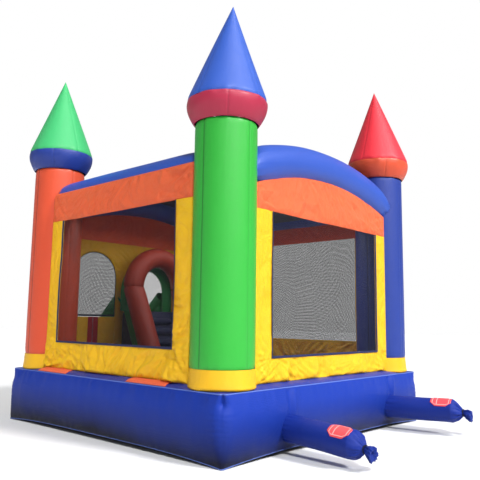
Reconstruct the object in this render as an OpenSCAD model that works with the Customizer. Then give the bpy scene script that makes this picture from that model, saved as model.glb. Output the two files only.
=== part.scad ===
// Inflatable bounce house: a square air-filled base with four corner turrets,
// beams and walls between them, a vaulted roof, a zipped entrance, an inside
// climb and a slide that leaves through the front wall.
// Front is -Y, the two blower tubes leave the rear (+Y), the ground is z = 0.

/* [Base] */
// Side of the square base, along its top seam
base_side = 3956; // [3600:10:4400]
// Height of the bouncing surface above the ground
base_height = 680; // [560:10:760]
// How far the inflated sides bulge past the seams
side_bulge = 60; // [40:5:80]
// Thickness of the coated cloth that forms the base
base_skin = 20; // [12:1:26]
// Number of tension sheets inside the base
baffle_count = 5; // [3:2:7]

/* [Turrets] */
// Distance of each turret's axis from the centre, along X and along Y
turret_axis = 1631; // [1600:1:1640]
// Radius of a turret's column
column_radius = 334; // [300:1:334]
// Height of a turret's yellow foot
foot_height = 200; // [120:5:260]
// Height at which a column ends
column_top = 3410; // [3380:10:3500]
// Height of the seam between collar and spire
spire_seam = 3660; // [3640:10:3760]
// Height of a spire's tip
spire_tip = 4780; // [4500:10:5000]
// Radius of the seam between collar and spire
collar_radius = 434; // [390:2:450]
// Thickness of the coated cloth of turrets and beams
tube_skin = 12; // [8:1:14]

/* [Walls] */
// Distance of each wall's middle from the centre
wall_plane = 1850; // [1845:1:1855]
// Thickness of a wall sheet with its hems
wall_thickness = 16; // [12:1:16]
// Half the width of a window
window_half = 1100; // [800:10:1150]
// Height of the side windows' sill and head
side_window = [1070, 2640];
// Height of the rear window's sill and head
rear_window = [990, 2540];
// Width of the sewn edging round a window
binding_width = 24; // [16:1:34]

/* [Beams] */
// Radius of the straight side beams
side_beam_radius = 165; // [140:1:165]
// Radius of the arched front and rear beams
arch_beam_radius = 225; // [200:1:225]
// Radius of the arched beams' centre line
arch_radius = 4150; // [4100:10:4300]

/* [Entrance] */
// Middle of the entrance along X
door_x = 820; // [810:1:830]
// Half the width of the entrance
door_half = 390; // [370:1:390]
// Height of the entrance flaps' top and of the mesh above them
flap_top = 1390; // [1300:10:1450]
// Width of one zip tape
tape_width = 90; // [50:1:100]

/* [Climb and slide] */
// Middle of the climb, the exit and the slide along X
climb_x = -130; // [-150:1:-125]
// Height of the platform between climb and slide
platform_height = 1480; // [1400:10:1520]
// How far the slide reaches past the base
slide_reach = 1870; // [1700:10:2100]

/* [Blower tubes] */
// Radius of a blower tube
blower_radius = 140; // [110:1:150]
// Length of a blower tube up to where it narrows
blower_length = 800; // [600:10:900]

/* [Hidden] */

$fn = 96;
touch = 0.3;          // space left between sewn pieces that lie side by side
sheet = 15;           // thickness of the base's top and bottom sheets

// Turrets in the order rear left, front left, rear right, front right
corner_x = [1, 1, -1, -1];
corner_y = [1, -1, 1, -1];
column_tint = ["#3cbe46", "#e15f41", "#324baa", "#c8324b"];
collar_tint = ["#be415f", "#3c5aaa", "#f0643c", "#3cbe46"];
spire_tint = ["#4169cd", "#64dc8c", "#fa4b5a", "#ffa028"];
yellow = "#ffd73c";
valance_tint = "#f58464";
base_blue = "#3c5fd2";
navy = "#1c2340";

// Base: its sides are arcs over the chord between the top and bottom seams
base_half = base_side / 2;
side_top = base_height - sheet;
chord_half = side_top / 2;
side_arc = (chord_half * chord_half + side_bulge * side_bulge) / (2 * side_bulge);
side_arc_x = base_half + side_bulge - side_arc;
baffle_pitch = base_side / (baffle_count + 1);
baffle_thickness = 6;
baffle_half = base_half - 70;
air_hole_radius = 90;

// Walls end just before the turret columns that they are sewn to
wall_inner = wall_plane - wall_thickness / 2;
wall_outer = wall_plane + wall_thickness / 2;
column_offset = wall_inner - turret_axis;
wall_half = turret_axis - sqrt(column_radius * column_radius - column_offset * column_offset) - touch;
mesh_thickness = 4;
binding_thickness = 3;

// Beams
side_beam_x = 1665;
side_beam_z = 3030;
arch_beam_y = 1710;
arch_centre_z = 3230 - arch_radius;
arch_sweep = 22;
arch_offset = wall_inner - arch_beam_y;
valance_arc = arch_radius
    - sqrt(arch_beam_radius * arch_beam_radius - arch_offset * arch_offset) - touch;
arch_valance_foot = 2540;
roof_thickness = 12;

// Entrance: mesh above, two flaps that meet at a zip below
door_arch_z = 1980;
flap_thickness = 6;
flap_foot = base_height + 12;
hinge_bead = 5;
hinge_gap = 7;
flap_gap = 1;
tape_thickness = 8;

// Climb: its rails lean on the edges of a sloping face
rail_radius = 155;
rail_half = 480;
rail_top = [-1500, 1850];
rail_lean = 25.7;
block_half = 450;
face_depth = rail_radius + touch;
face_top_y = rail_top[0] - face_depth / cos(rail_lean)
    + (rail_top[1] - platform_height) * tan(rail_lean);
face_foot_y = face_top_y + (platform_height - base_height) * tan(rail_lean);
side_panel_thickness = 20;
side_panel_depth = 260;
step_count = 4;
step_radius = 55;
step_half = 230;
exit_half = 400;
exit_arch_z = 1790;
exit_frame_arc = 420;
exit_frame_radius = 84;
exit_frame_y = exit_frame_radius + touch - wall_inner;

// Slide: a straight run, then a flat landing
slide_half = 300;
slide_rail_radius = 110;
slide_back = -(wall_outer + 1);
slide_base_back = -(base_half + side_bulge + 4);
slide_end = -(base_half + slide_reach);
landing_height = 170;
landing_length = 480;
slide_skin = 15;
step_half_width = 370;
step_x = 850;

// Blower tubes: root on the rear side, then the neck, tie and tuft
blower_root_y = base_half + side_bulge + 1;
blower_root = [[1000, 262], [-1150, 279]];
blower_turn = [-3.9, 8.8];
blower_droop = [-3.2, 1.2];
neck_radius = 30;
neck_length = 90;
tuft_radius = 62;
tuft_length = 95;
tie_radius = 9;
label_length = 250;
label_width = 180;
label_thickness = 2;
label_turn = [30, 28];

// Places children at one side of the base: 0 left, 1 rear, 2 right, 3 front
module at_side(side) {
    rotate([0, 0, 90 * side])
        children();
}

// Stands a drawing of (along, up) on end, facing +X, at the wall's plane
module on_wall(thickness) {
    translate([wall_plane - thickness / 2, 0, 0])
        rotate([90, 0, 90])
            linear_extrude(thickness)
                children();
}

// Extrudes a drawing of (y, z) along X, over the middle span
module across(half_width, x = climb_x) {
    translate([x - half_width, 0, 0])
        rotate([90, 0, 90])
            linear_extrude(2 * half_width)
                children();
}

// A round tube between two points in the plane at x, open at both ends
module leaning_tube(radius, skin, length) {
    difference() {
        cylinder(r = radius, h = length);
        translate([0, 0, -1])
            cylinder(r = radius - skin, h = length + 2);
    }
}

// Half a ring of tube standing on its two ends, open across X
module half_ring(arc, radius, skin) {
    rotate([90, 0, 0])
        rotate_extrude(angle = 180)
            translate([arc, 0])
                difference() {
                    circle(r = radius);
                    circle(r = radius - skin);
                }
}

module columns_cut() {
    for (i = [0 : 3])
        translate([corner_x[i] * turret_axis, corner_y[i] * turret_axis, base_height - 10])
            cylinder(r = column_radius + touch, h = column_top);
}

module at_turret(i) {
    translate([corner_x[i] * turret_axis, corner_y[i] * turret_axis, 0])
        children();
}

// --- Base ---

module base_underside() {
    color("#14161c")
        translate([-base_half, -base_half, 0])
            cube([base_side, base_side, sheet]);
}

module base_side_sheet() {
    intersection() {
        rotate([90, 0, 0])
            translate([0, 0, -2 * base_half])
                linear_extrude(4 * base_half)
                    intersection() {
                        translate([side_arc_x, chord_half])
                            difference() {
                                circle(r = side_arc, $fn = 180);
                                circle(r = side_arc - base_skin, $fn = 180);
                            }
                        translate([side_arc_x, sheet])
                            square([2 * side_arc, side_top - sheet]);
                    }
        linear_extrude(base_height)
            polygon([[0, 0], [2 * base_half, 2 * base_half], [2 * base_half, -2 * base_half]]);
    }
}

module base_sides() {
    color(base_blue)
        for (side = [0 : 3])
            at_side(side)
                base_side_sheet();
}

module floor_baffles() {
    color("#8f98ad")
        for (i = [1 : baffle_count])
            translate([i * baffle_pitch - base_half - baffle_thickness / 2, 0, 0])
                rotate([90, 0, 90])
                    linear_extrude(baffle_thickness)
                        difference() {
                            translate([-baffle_half, sheet])
                                square([2 * baffle_half, side_top - sheet]);
                            for (k = [-2 : 2])
                                translate([k * baffle_pitch, base_height / 2])
                                    circle(r = air_hole_radius);
                        }
}

module bounce_floor() {
    color(base_blue)
        translate([-base_half, -base_half, side_top])
            cube([base_side, base_side, sheet]);
}

module shelf_pads() {
    pad_length = 650;
    color("#ff7d5f")
        for (y = [-1340, 500])
            translate([wall_outer + 4, y, base_height])
                cube([base_half - wall_outer - 8, pad_length, 4]);
}

// --- Turrets ---

module turret_feet() {
    color(yellow)
        for (i = [0 : 3])
            at_turret(i)
                translate([0, 0, base_height])
                    leaning_tube(column_radius, tube_skin, foot_height);
}

module turret_column(i) {
    color(column_tint[i])
        at_turret(i)
            translate([0, 0, base_height + foot_height])
                leaning_tube(column_radius, tube_skin, column_top - base_height - foot_height);
}

// A collar widens from the column to the spire's seam
module turret_collar(i) {
    color(collar_tint[i])
        at_turret(i)
            rotate_extrude()
                polygon([
                    [column_radius - tube_skin, column_top],
                    [column_radius, column_top],
                    [(column_radius + 2 * collar_radius) / 3 - 8, (column_top + spire_seam) / 2],
                    [collar_radius, spire_seam],
                    [collar_radius - tube_skin, spire_seam],
                    [(column_radius + 2 * collar_radius) / 3 - 8 - tube_skin,
                        (column_top + spire_seam) / 2]
                ]);
}

// A spire is a hollow cone with a short rounded shoulder above its seam
module turret_spire(i) {
    shoulder = 90;
    shoulder_radius = collar_radius - 18;
    color(spire_tint[i])
        at_turret(i)
            rotate_extrude()
                polygon([
                    [0, spire_tip],
                    [shoulder_radius, spire_seam + shoulder],
                    [collar_radius, spire_seam],
                    [collar_radius - tube_skin, spire_seam],
                    [shoulder_radius - tube_skin, spire_seam + shoulder],
                    [0, spire_tip - 3 * tube_skin]
                ]);
}

// --- Beams and roof ---

module side_beam(side) {
    color("#3f6ad0")
        difference() {
            at_side(side)
                translate([side_beam_x, turret_axis, side_beam_z])
                    rotate([90, 0, 0])
                        leaning_tube(side_beam_radius, tube_skin, 2 * turret_axis);
            columns_cut();
        }
}

module arch_beam(side) {
    color("#3f5fd0")
        difference() {
            at_side(side)
                translate([arch_beam_y, 0, arch_centre_z])
                    rotate([0, -90, 0])
                        rotate([0, 0, -arch_sweep])
                            rotate_extrude(angle = 2 * arch_sweep, $fn = 180)
                                translate([arch_radius, 0])
                                    difference() {
                                        circle(r = arch_beam_radius, $fn = 64);
                                        circle(r = arch_beam_radius - tube_skin, $fn = 64);
                                    }
            columns_cut();
        }
}

// The roof is a vault that hangs between the four beams
module roof_panel() {
    roof_half_x = side_beam_x - side_beam_radius - 12;
    roof_half_y = arch_beam_y - arch_beam_radius - 1;
    color("#3a4457")
        difference() {
            translate([0, roof_half_y, arch_centre_z])
                rotate([90, 0, 0])
                    linear_extrude(2 * roof_half_y)
                        intersection() {
                            difference() {
                                circle(r = arch_radius + roof_thickness / 2, $fn = 360);
                                circle(r = arch_radius - roof_thickness / 2, $fn = 360);
                            }
                            translate([-roof_half_x, 0])
                                square([2 * roof_half_x, arch_radius + roof_thickness]);
                        }
            columns_cut();
        }
}

// --- Walls, windows and valances ---

module window_hole(sill_and_head) {
    translate([-window_half, sill_and_head[0]])
        square([2 * window_half, sill_and_head[1] - sill_and_head[0]]);
}

// A wall panel is a U of yellow cloth round three sides of its window
module wall_panel(side, sill_and_head) {
    color(yellow)
        at_side(side)
            on_wall(wall_thickness)
                difference() {
                    translate([-wall_half, base_height])
                        square([2 * wall_half, sill_and_head[1] - base_height]);
                    window_hole(sill_and_head + [0, 1]);
                }
}

module window_mesh(side, sill_and_head) {
    color("#2c2f33")
        at_side(side)
            on_wall(mesh_thickness)
                window_hole(sill_and_head - [0, touch]);
}

module window_bindings() {
    color("#30385c")
        for (w = [[0, side_window], [1, rear_window], [2, side_window]])
            at_side(w[0])
                translate([wall_thickness / 2 + binding_thickness / 2, 0, 0])
                    on_wall(binding_thickness)
                        difference() {
                            translate([-window_half - binding_width, w[1][0] - binding_width])
                                square([
                                    2 * (window_half + binding_width),
                                    w[1][1] - w[1][0] + binding_width - touch
                                ]);
                            window_hole(w[1] + [0, 1]);
                        }
}

module side_valance(side) {
    color(valance_tint)
        at_side(side)
            on_wall(wall_thickness)
                translate([-wall_half, side_window[1]])
                    square([2 * wall_half, side_beam_z - side_window[1]]);
}

// The front and rear valances run up to the underside of the arched beams
module arch_valance(side) {
    color(valance_tint)
        at_side(side)
            on_wall(wall_thickness)
                intersection() {
                    translate([0, arch_centre_z])
                        circle(r = valance_arc, $fn = 360);
                    translate([-wall_half, arch_valance_foot])
                        square([2 * wall_half, 1000]);
                }
}

// --- Front wall and entrance ---

// The front's drawings run along -X to +X, seen from behind the wall
module on_front(thickness) {
    translate([0, -wall_plane + thickness / 2, 0])
        rotate([90, 0, 0])
            linear_extrude(thickness)
                children();
}

module door_outline(inset = 0) {
    translate([door_x - door_half + inset, flap_top + inset])
        square([2 * (door_half - inset), door_arch_z - flap_top - inset]);
    translate([door_x, door_arch_z])
        circle(r = door_half - inset);
}

module exit_outline() {
    translate([climb_x - exit_half, platform_height])
        square([2 * exit_half, exit_arch_z - platform_height]);
    translate([climb_x, exit_arch_z])
        circle(r = exit_half);
}

module front_wall_panel() {
    color(yellow)
        on_front(wall_thickness)
            difference() {
                translate([-wall_half, base_height])
                    square([2 * wall_half, arch_valance_foot - base_height]);
                door_outline();
                translate([door_x - door_half, base_height - 1])
                    square([2 * door_half, flap_top - base_height + 2]);
                exit_outline();
            }
}

module entrance_mesh() {
    color("#2c2f33")
        on_front(mesh_thickness)
            door_outline(touch);
}

// Flaps are hung on a round bead at their outer edge
module entrance_flap(mirror_x) {
    flap_width = door_half - hinge_gap - flap_gap - tape_width;
    color(yellow)
        translate([door_x, -wall_plane, flap_foot])
            mirror([mirror_x, 0, 0])
                translate([-door_half + hinge_gap, 0, 0])
                    union() {
                        cylinder(r = hinge_bead, h = flap_top - flap_foot - 6, $fn = 32);
                        translate([0, -flap_thickness / 2, 0])
                            cube([flap_width, flap_thickness, flap_top - flap_foot - 6]);
                    }
}

module zip_tape(mirror_x) {
    color("#dc2838")
        translate([door_x, -wall_plane, flap_foot])
            mirror([mirror_x, 0, 0])
                translate([-flap_gap - tape_width, -tape_thickness / 2, 0])
                    cube([tape_width, tape_thickness, flap_top - flap_foot - 6]);
}

// The slider runs on the outside of the right tape, and its pull tab hangs clear of the floor
module zip_slider() {
    slider_width = 22;
    slider_depth = 8;
    tab_width = 12;
    tab_depth = 4;
    tab_drop = 46;
    slider_foot = flap_foot + tab_drop + 8;
    color("#b8bcc4")
        translate([door_x - flap_gap - slider_width - 1,
                -wall_plane - tape_thickness / 2 - slider_depth - touch, slider_foot]) {
            cube([slider_width, slider_depth, 34]);
            translate([(slider_width - tab_width) / 2, -tab_depth, -tab_drop])
                cube([tab_width, tab_depth, tab_drop + 24]);
        }
}

// --- Climb and exit ---

module climb_block() {
    color(navy)
        across(block_half)
            difference() {
                polygon([
                    [-wall_inner + touch, base_height],
                    [-wall_inner + touch, platform_height],
                    [face_top_y, platform_height],
                    [face_foot_y, base_height]
                ]);
                polygon([
                    [-wall_inner + slide_skin, base_height + slide_skin],
                    [-wall_inner + slide_skin, platform_height - slide_skin],
                    [face_top_y - slide_skin, platform_height - slide_skin],
                    [face_foot_y - 2 * slide_skin, base_height + slide_skin]
                ]);
            }
}

// Green panels run beside the climbing face, over the block's sides
module climb_side_panels() {
    color("#2f9a50")
        for (s = [-1, 1])
            across(side_panel_thickness / 2,
                climb_x + s * (block_half + side_panel_thickness / 2 + touch))
                polygon([
                    [face_top_y - side_panel_depth, platform_height],
                    [face_top_y, platform_height],
                    [face_foot_y, base_height],
                    [face_foot_y - side_panel_depth, base_height]
                ]);
}

// Rounded treads lie on the climbing face
module climb_steps() {
    pitch = (platform_height - base_height) / (step_count + 1);
    color(navy)
        for (i = [1 : step_count])
            across(step_half)
                translate([face_foot_y - i * pitch * tan(rail_lean), base_height + i * pitch])
                    rotate(rail_lean - 90)
                        intersection() {
                            circle(r = step_radius);
                            translate([-step_radius, touch])
                                square([2 * step_radius, step_radius]);
                        }
}

// A rail runs from the arch's foot down to the floor
module climb_rail(s) {
    color("#e0492f")
        difference() {
            translate([climb_x + s * rail_half, rail_top[0], rail_top[1]])
                rotate([180 + rail_lean, 0, 0])
                    translate([0, 0, -200])
                        leaning_tube(rail_radius, tube_skin, 1600);
            translate([-base_half, -base_half, rail_top[1]])
                cube([base_side, base_side, 500]);
            translate([-base_half, -base_half, base_height - 1000])
                cube([base_side, base_side, 1000]);
        }
}

module climb_arch() {
    color("#a8342a")
        translate([climb_x, rail_top[0], rail_top[1]])
            half_ring(rail_half, rail_radius, tube_skin);
}

// The exit's frame stands on the platform against the front wall
module exit_frame() {
    color("#2f9a50")
        translate([climb_x, exit_frame_y, exit_arch_z]) {
            half_ring(exit_frame_arc, exit_frame_radius, tube_skin);
            for (s = [-1, 1])
                translate([s * exit_frame_arc, 0, platform_height - exit_arch_z])
                    leaning_tube(exit_frame_radius, tube_skin, exit_arch_z - platform_height);
        }
}

// --- Slide and step ---

module slide_bed() {
    run_end = slide_end + landing_length;
    color("#ffd23c")
        across(slide_half)
            difference() {
                polygon([
                    [slide_back, base_height + 1],
                    [slide_back, platform_height],
                    [slide_back - 60, platform_height],
                    [run_end, landing_height],
                    [slide_end, landing_height],
                    [slide_end, 0],
                    [slide_base_back, 0],
                    [slide_base_back, base_height + 1]
                ]);
                polygon([
                    [slide_back - slide_skin, base_height + 1 + slide_skin],
                    [slide_back - slide_skin, platform_height - slide_skin],
                    [slide_back - 60 + slide_skin / 3, platform_height - 1.5 * slide_skin],
                    [run_end, landing_height - slide_skin],
                    [slide_end + slide_skin, landing_height - slide_skin],
                    [slide_end + slide_skin, slide_skin],
                    [slide_base_back - slide_skin, slide_skin],
                    [slide_base_back - slide_skin, base_height + 1 + slide_skin]
                ]);
            }
}

// A slide rail follows the bed's side, on a skirt down to the ground
module slide_rail(s) {
    run_end = slide_end + landing_length;
    skirt_half = slide_rail_radius / 2;
    x = climb_x + s * (slide_half + slide_rail_radius + touch);
    run_angle = atan2(platform_height - landing_height, slide_back - 60 - run_end);
    rise = 190;
    color("#2fa84e")
        difference() {
            union() {
                translate([x, run_end, landing_height + rise]) {
                    rotate([-90 + run_angle, 0, 0])
                        cylinder(r = slide_rail_radius, h = 2300);
                    sphere(r = slide_rail_radius);
                    rotate([90, 0, 0])
                        cylinder(r = slide_rail_radius, h = landing_length - 30);
                    translate([0, 30 - landing_length, 0])
                        sphere(r = slide_rail_radius);
                }
                across(skirt_half, x)
                    polygon([
                        [slide_back, base_height + 1],
                        [slide_back, platform_height + rise],
                        [slide_back - 60, platform_height + rise],
                        [run_end, landing_height + rise],
                        [slide_end + 30, landing_height + rise],
                        [slide_end + 30, 0],
                        [slide_base_back, 0],
                        [slide_base_back, base_height + 1]
                    ]);
            }
            translate([-base_half, slide_back, 0])
                cube([base_side, base_side, spire_tip]);
        }
}

module entrance_step() {
    depth = 720;
    step_height = 420;
    color(base_blue)
        across(step_half_width, step_x)
            difference() {
                polygon([
                    [slide_base_back, 0],
                    [slide_base_back, step_height],
                    [slide_base_back - depth / 2, step_height],
                    [slide_base_back - depth, step_height / 2],
                    [slide_base_back - depth, 0]
                ]);
                polygon([
                    [slide_base_back - slide_skin, slide_skin],
                    [slide_base_back - slide_skin, step_height - slide_skin],
                    [slide_base_back - depth / 2 + slide_skin / 3, step_height - slide_skin],
                    [slide_base_back - depth + slide_skin, step_height / 2 - slide_skin / 2],
                    [slide_base_back - depth + slide_skin, slide_skin]
                ]);
            }
}

// --- Blower tubes ---

// Places a tube's own axis, +Z along the tube, at its root on the rear side
module at_blower(i) {
    translate([blower_root[i][0], blower_root_y, blower_root[i][1]])
        rotate([0, 0, blower_turn[i]])
            rotate([-90 + blower_droop[i], 0, 0])
                children();
}

module blower_tube(i) {
    skin = 10;
    tie_z = blower_length + neck_length;
    color("#2341a5")
        difference() {
            at_blower(i)
                rotate_extrude()
                    polygon([
                        [blower_radius - skin, -20],
                        [blower_radius, -20],
                        [blower_radius, blower_length - 40],
                        [blower_radius - 25, blower_length],
                        [neck_radius, tie_z - 12],
                        [neck_radius, tie_z + 12],
                        [tuft_radius, tie_z + tuft_length],
                        [tuft_radius - skin, tie_z + tuft_length],
                        [0, tie_z + 12],
                        [0, tie_z - 12],
                        [blower_radius - 25 - skin, blower_length - skin],
                        [blower_radius - skin, blower_length - 40]
                    ]);
            translate([-base_half, 0, 0])
                cube([base_side, blower_root_y, base_height]);
        }
}

module tube_ties() {
    color("#101a3c")
        for (i = [0, 1])
            at_blower(i)
                translate([0, 0, blower_length + neck_length])
                    rotate_extrude()
                        translate([neck_radius + tie_radius + touch, 0])
                            circle(r = tie_radius, $fn = 32);
}

// Plain patches lie on the tubes near their ends
module tube_labels() {
    color("#eb505a")
        for (i = [0, 1])
            at_blower(i)
                rotate([0, 0, label_turn[i]])
                    intersection() {
                        translate([0, 0, blower_length - label_length - 60])
                            difference() {
                                cylinder(r = blower_radius + touch + label_thickness,
                                    h = label_length);
                                translate([0, 0, -1])
                                    cylinder(r = blower_radius + touch, h = label_length + 2);
                            }
                        translate([-label_width / 2, -2 * blower_radius, 0])
                            cube([label_width, 2 * blower_radius, blower_length]);
                    }
}

base_underside();
base_sides();
floor_baffles();
bounce_floor();
shelf_pads();
turret_feet();
turret_column(0);  // rear_left_column
turret_column(1);  // front_left_column
turret_column(2);  // rear_right_column
turret_column(3);  // front_right_column
turret_collar(0);  // rear_left_collar
turret_collar(1);  // front_left_collar
turret_collar(2);  // rear_right_collar
turret_collar(3);  // front_right_collar
turret_spire(0);  // rear_left_spire
turret_spire(1);  // front_left_spire
turret_spire(2);  // rear_right_spire
turret_spire(3);  // front_right_spire
side_beam(0);  // left_beam
side_beam(2);  // right_beam
arch_beam(1);  // rear_arch_beam
arch_beam(3);  // front_arch_beam
roof_panel();
wall_panel(0, side_window);  // left_wall_panel
wall_panel(2, side_window);  // right_wall_panel
wall_panel(1, rear_window);  // rear_wall_panel
front_wall_panel();
window_mesh(0, side_window);  // left_window_mesh
window_mesh(2, side_window);  // right_window_mesh
window_mesh(1, rear_window);  // rear_window_mesh
entrance_mesh();
window_bindings();
side_valance(0);  // left_valance
side_valance(2);  // right_valance
arch_valance(1);  // rear_valance
arch_valance(3);  // front_valance
entrance_flap(0);  // entrance_flap_right
entrance_flap(1);  // entrance_flap_left
zip_tape(0);  // zip_tape_right
zip_tape(1);  // zip_tape_left
zip_slider();
climb_block();
climb_side_panels();
climb_steps();
climb_rail(1);  // climb_rail_left
climb_rail(-1);  // climb_rail_right
climb_arch();
exit_frame();
slide_bed();
slide_rail(1);  // slide_rail_left
slide_rail(-1);  // slide_rail_right
entrance_step();
blower_tube(0);  // blower_tube_left
blower_tube(1);  // blower_tube_right
tube_ties();
tube_labels();
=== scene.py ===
from math import asin, atan2, cos, exp, hypot, pi, radians, sin, sqrt

import bmesh
import bpy
from mathutils import Matrix, Vector, noise


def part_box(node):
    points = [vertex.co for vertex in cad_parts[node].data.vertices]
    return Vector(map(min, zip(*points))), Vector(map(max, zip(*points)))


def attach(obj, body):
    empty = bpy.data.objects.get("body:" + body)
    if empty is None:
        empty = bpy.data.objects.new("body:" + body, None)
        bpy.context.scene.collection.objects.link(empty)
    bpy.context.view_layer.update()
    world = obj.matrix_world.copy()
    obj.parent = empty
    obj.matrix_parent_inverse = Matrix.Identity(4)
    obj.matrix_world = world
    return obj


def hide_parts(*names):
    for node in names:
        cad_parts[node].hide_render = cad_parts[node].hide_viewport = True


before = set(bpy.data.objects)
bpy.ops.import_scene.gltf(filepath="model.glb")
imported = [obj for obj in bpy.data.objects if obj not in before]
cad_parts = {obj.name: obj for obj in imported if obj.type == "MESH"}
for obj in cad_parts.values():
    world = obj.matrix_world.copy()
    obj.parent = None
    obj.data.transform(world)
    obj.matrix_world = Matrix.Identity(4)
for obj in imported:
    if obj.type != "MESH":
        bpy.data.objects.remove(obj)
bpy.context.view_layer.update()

# --- Viewpoint, light and floor ---
# Seen from the rear left corner at a child's eye height, in soft light that comes from the rear and above,
# on a plain pale floor.
camera_data = bpy.data.cameras.new("camera")
camera_data.angle = radians(44.2)
camera = bpy.data.objects.new("camera", camera_data)
bpy.context.scene.collection.objects.link(camera)
bpy.context.scene.camera = camera
yaw, pitch, roll = radians(221.97), radians(7.75), radians(0.81)
ahead = Vector((cos(pitch) * cos(yaw), cos(pitch) * sin(yaw), sin(pitch)))
right = ahead.cross(Vector((0, 0, 1))).normalized()
upward = right.cross(ahead)
camera_axes = Matrix((right * cos(roll) + upward * sin(roll), upward * cos(roll) - right * sin(roll), -ahead))
camera.matrix_world = Matrix.Translation((6.056, 5.828, 1.358)) @ camera_axes.transposed().to_4x4()

for light_name, toward, strength, spread in [
    ("key_light", (-0.16, 0.78, 0.66), 3.3, 11),
    ("fill_light", (0.40, 0.60, 0.70), 2.5, 9),
]:
    light = bpy.data.lights.new(light_name, "SUN")
    light.energy = strength
    light.angle = radians(spread)
    lamp = bpy.data.objects.new(light_name, light)
    lamp.rotation_euler = Vector(toward).to_track_quat("Z", "Y").to_euler()
    bpy.context.scene.collection.objects.link(lamp)

# A soft lamp under the roof stands for the daylight that real cloth walls let through
glow = bpy.data.lights.new("inside_glow", "AREA")
glow.shape, glow.size, glow.size_y, glow.energy = "RECTANGLE", 2.4, 2.4, 60
glow_lamp = bpy.data.objects.new("inside_glow", glow)
glow_lamp.location = (0, 0, 2.75)
glow_lamp.visible_camera = False
bpy.context.scene.collection.objects.link(glow_lamp)

studio = bpy.data.worlds.new("studio")
bpy.context.scene.world = studio
studio.use_nodes = True
air = studio.node_tree
seen = air.nodes.new("ShaderNodeLightPath")
white = air.nodes.new("ShaderNodeBackground")
white.inputs["Color"].default_value = (1, 1, 1, 1)
sky = air.nodes["Background"]
sky.inputs["Color"].default_value = (0.93, 0.96, 1.0, 1)
sky.inputs["Strength"].default_value = 0.34
either = air.nodes.new("ShaderNodeMixShader")
air.links.new(seen.outputs["Is Camera Ray"], either.inputs[0])
air.links.new(sky.outputs[0], either.inputs[1])
air.links.new(white.outputs[0], either.inputs[2])
air.links.new(either.outputs[0], air.nodes["World Output"].inputs["Surface"])
bpy.context.scene.view_settings.view_transform = "Standard"

floor_mesh = bpy.data.meshes.new("studio_floor")
shape = bmesh.new()
bmesh.ops.create_grid(shape, x_segments=1, y_segments=1, size=60)
shape.to_mesh(floor_mesh)
studio_floor = bpy.data.objects.new("studio_floor", floor_mesh)
bpy.context.scene.collection.objects.link(studio_floor)


def new_finish(name):
    """A new material, with its node tree and its surface."""
    finish = bpy.data.materials.new(name)
    finish.use_nodes = True
    return finish, finish.node_tree, finish.node_tree.nodes["Principled BSDF"]


pale, _, pale_surface = new_finish("pale_floor")
pale_surface.inputs["Base Color"].default_value = (0.80, 0.80, 0.80, 1)
pale_surface.inputs["Roughness"].default_value = 0.9
floor_mesh.materials.append(pale)

# --- Base ---
# The base is a wide air-filled box of blue coated cloth: four side panels sewn to an underside and to
# the floor sheet; the underside's near black is painted shade under the bulging sides. Air bows the sides
# out, lifts the ground seam off the ground between the corners, and the stitching draws small folds into
# the cloth beside each seam.


def paint(red, green, blue):
    """A colour given in the usual 0 to 255 steps, as a shader reads it."""
    steps = [c / 255 for c in (red, green, blue)]
    return (*[c / 12.92 if c < 0.0404 else ((c + 0.055) / 1.055) ** 2.4 for c in steps], 1)


def new_effect(name, inputs, outputs):
    """An empty node group with these named inputs, outputs and their values."""
    effect = bpy.data.node_groups.new(name, "ShaderNodeTree")
    for label, kind, value in inputs:
        socket = effect.interface.new_socket(label, in_out="INPUT", socket_type=kind)
        socket.default_value = value
    for label, kind in outputs:
        effect.interface.new_socket(label, in_out="OUTPUT", socket_type=kind)
    return effect, effect.nodes.new("NodeGroupInput"), effect.nodes.new("NodeGroupOutput")


def maths(tree, operation, *values, clamp=False):
    """A Math node whose inputs are numbers or other nodes' outputs."""
    node = tree.nodes.new("ShaderNodeMath")
    node.operation = operation
    node.use_clamp = clamp
    for socket, value in zip(node.inputs, values):
        if isinstance(value, (int, float)):
            socket.default_value = value
        else:
            tree.links.new(value, socket)
    return node.outputs[0]


def noise_of(tree, place, scale, detail=3.0, kind="FBM", rough=0.55, stir=0.0):
    """The value of a Noise node at a place."""
    node = tree.nodes.new("ShaderNodeTexNoise")
    node.noise_type = kind
    node.inputs["Scale"].default_value = scale
    node.inputs["Detail"].default_value = detail
    node.inputs["Roughness"].default_value = rough
    node.inputs["Distortion"].default_value = stir
    tree.links.new(place, node.inputs["Vector"])
    return node.outputs[0]


def blended(tree, share, low, high, how="MIX"):
    """A colour Mix node, whose ends are colours or other nodes' outputs."""
    node = tree.nodes.new("ShaderNodeMix")
    node.data_type = "RGBA"
    node.blend_type = how
    for socket, value in [(node.inputs[0], share), (node.inputs[6], low), (node.inputs[7], high)]:
        if isinstance(value, (int, float, tuple)):
            socket.default_value = value
        else:
            tree.links.new(value, socket)
    return node.outputs[2]


def bumped(tree, height, distance, below=None):
    """The normal of a Bump node over a height, laid on another normal if one is given."""
    node = tree.nodes.new("ShaderNodeBump")
    node.inputs["Distance"].default_value = distance
    tree.links.new(height, node.inputs["Height"])
    if below is not None:
        tree.links.new(below, node.inputs["Normal"])
    return node.outputs[0]
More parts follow.
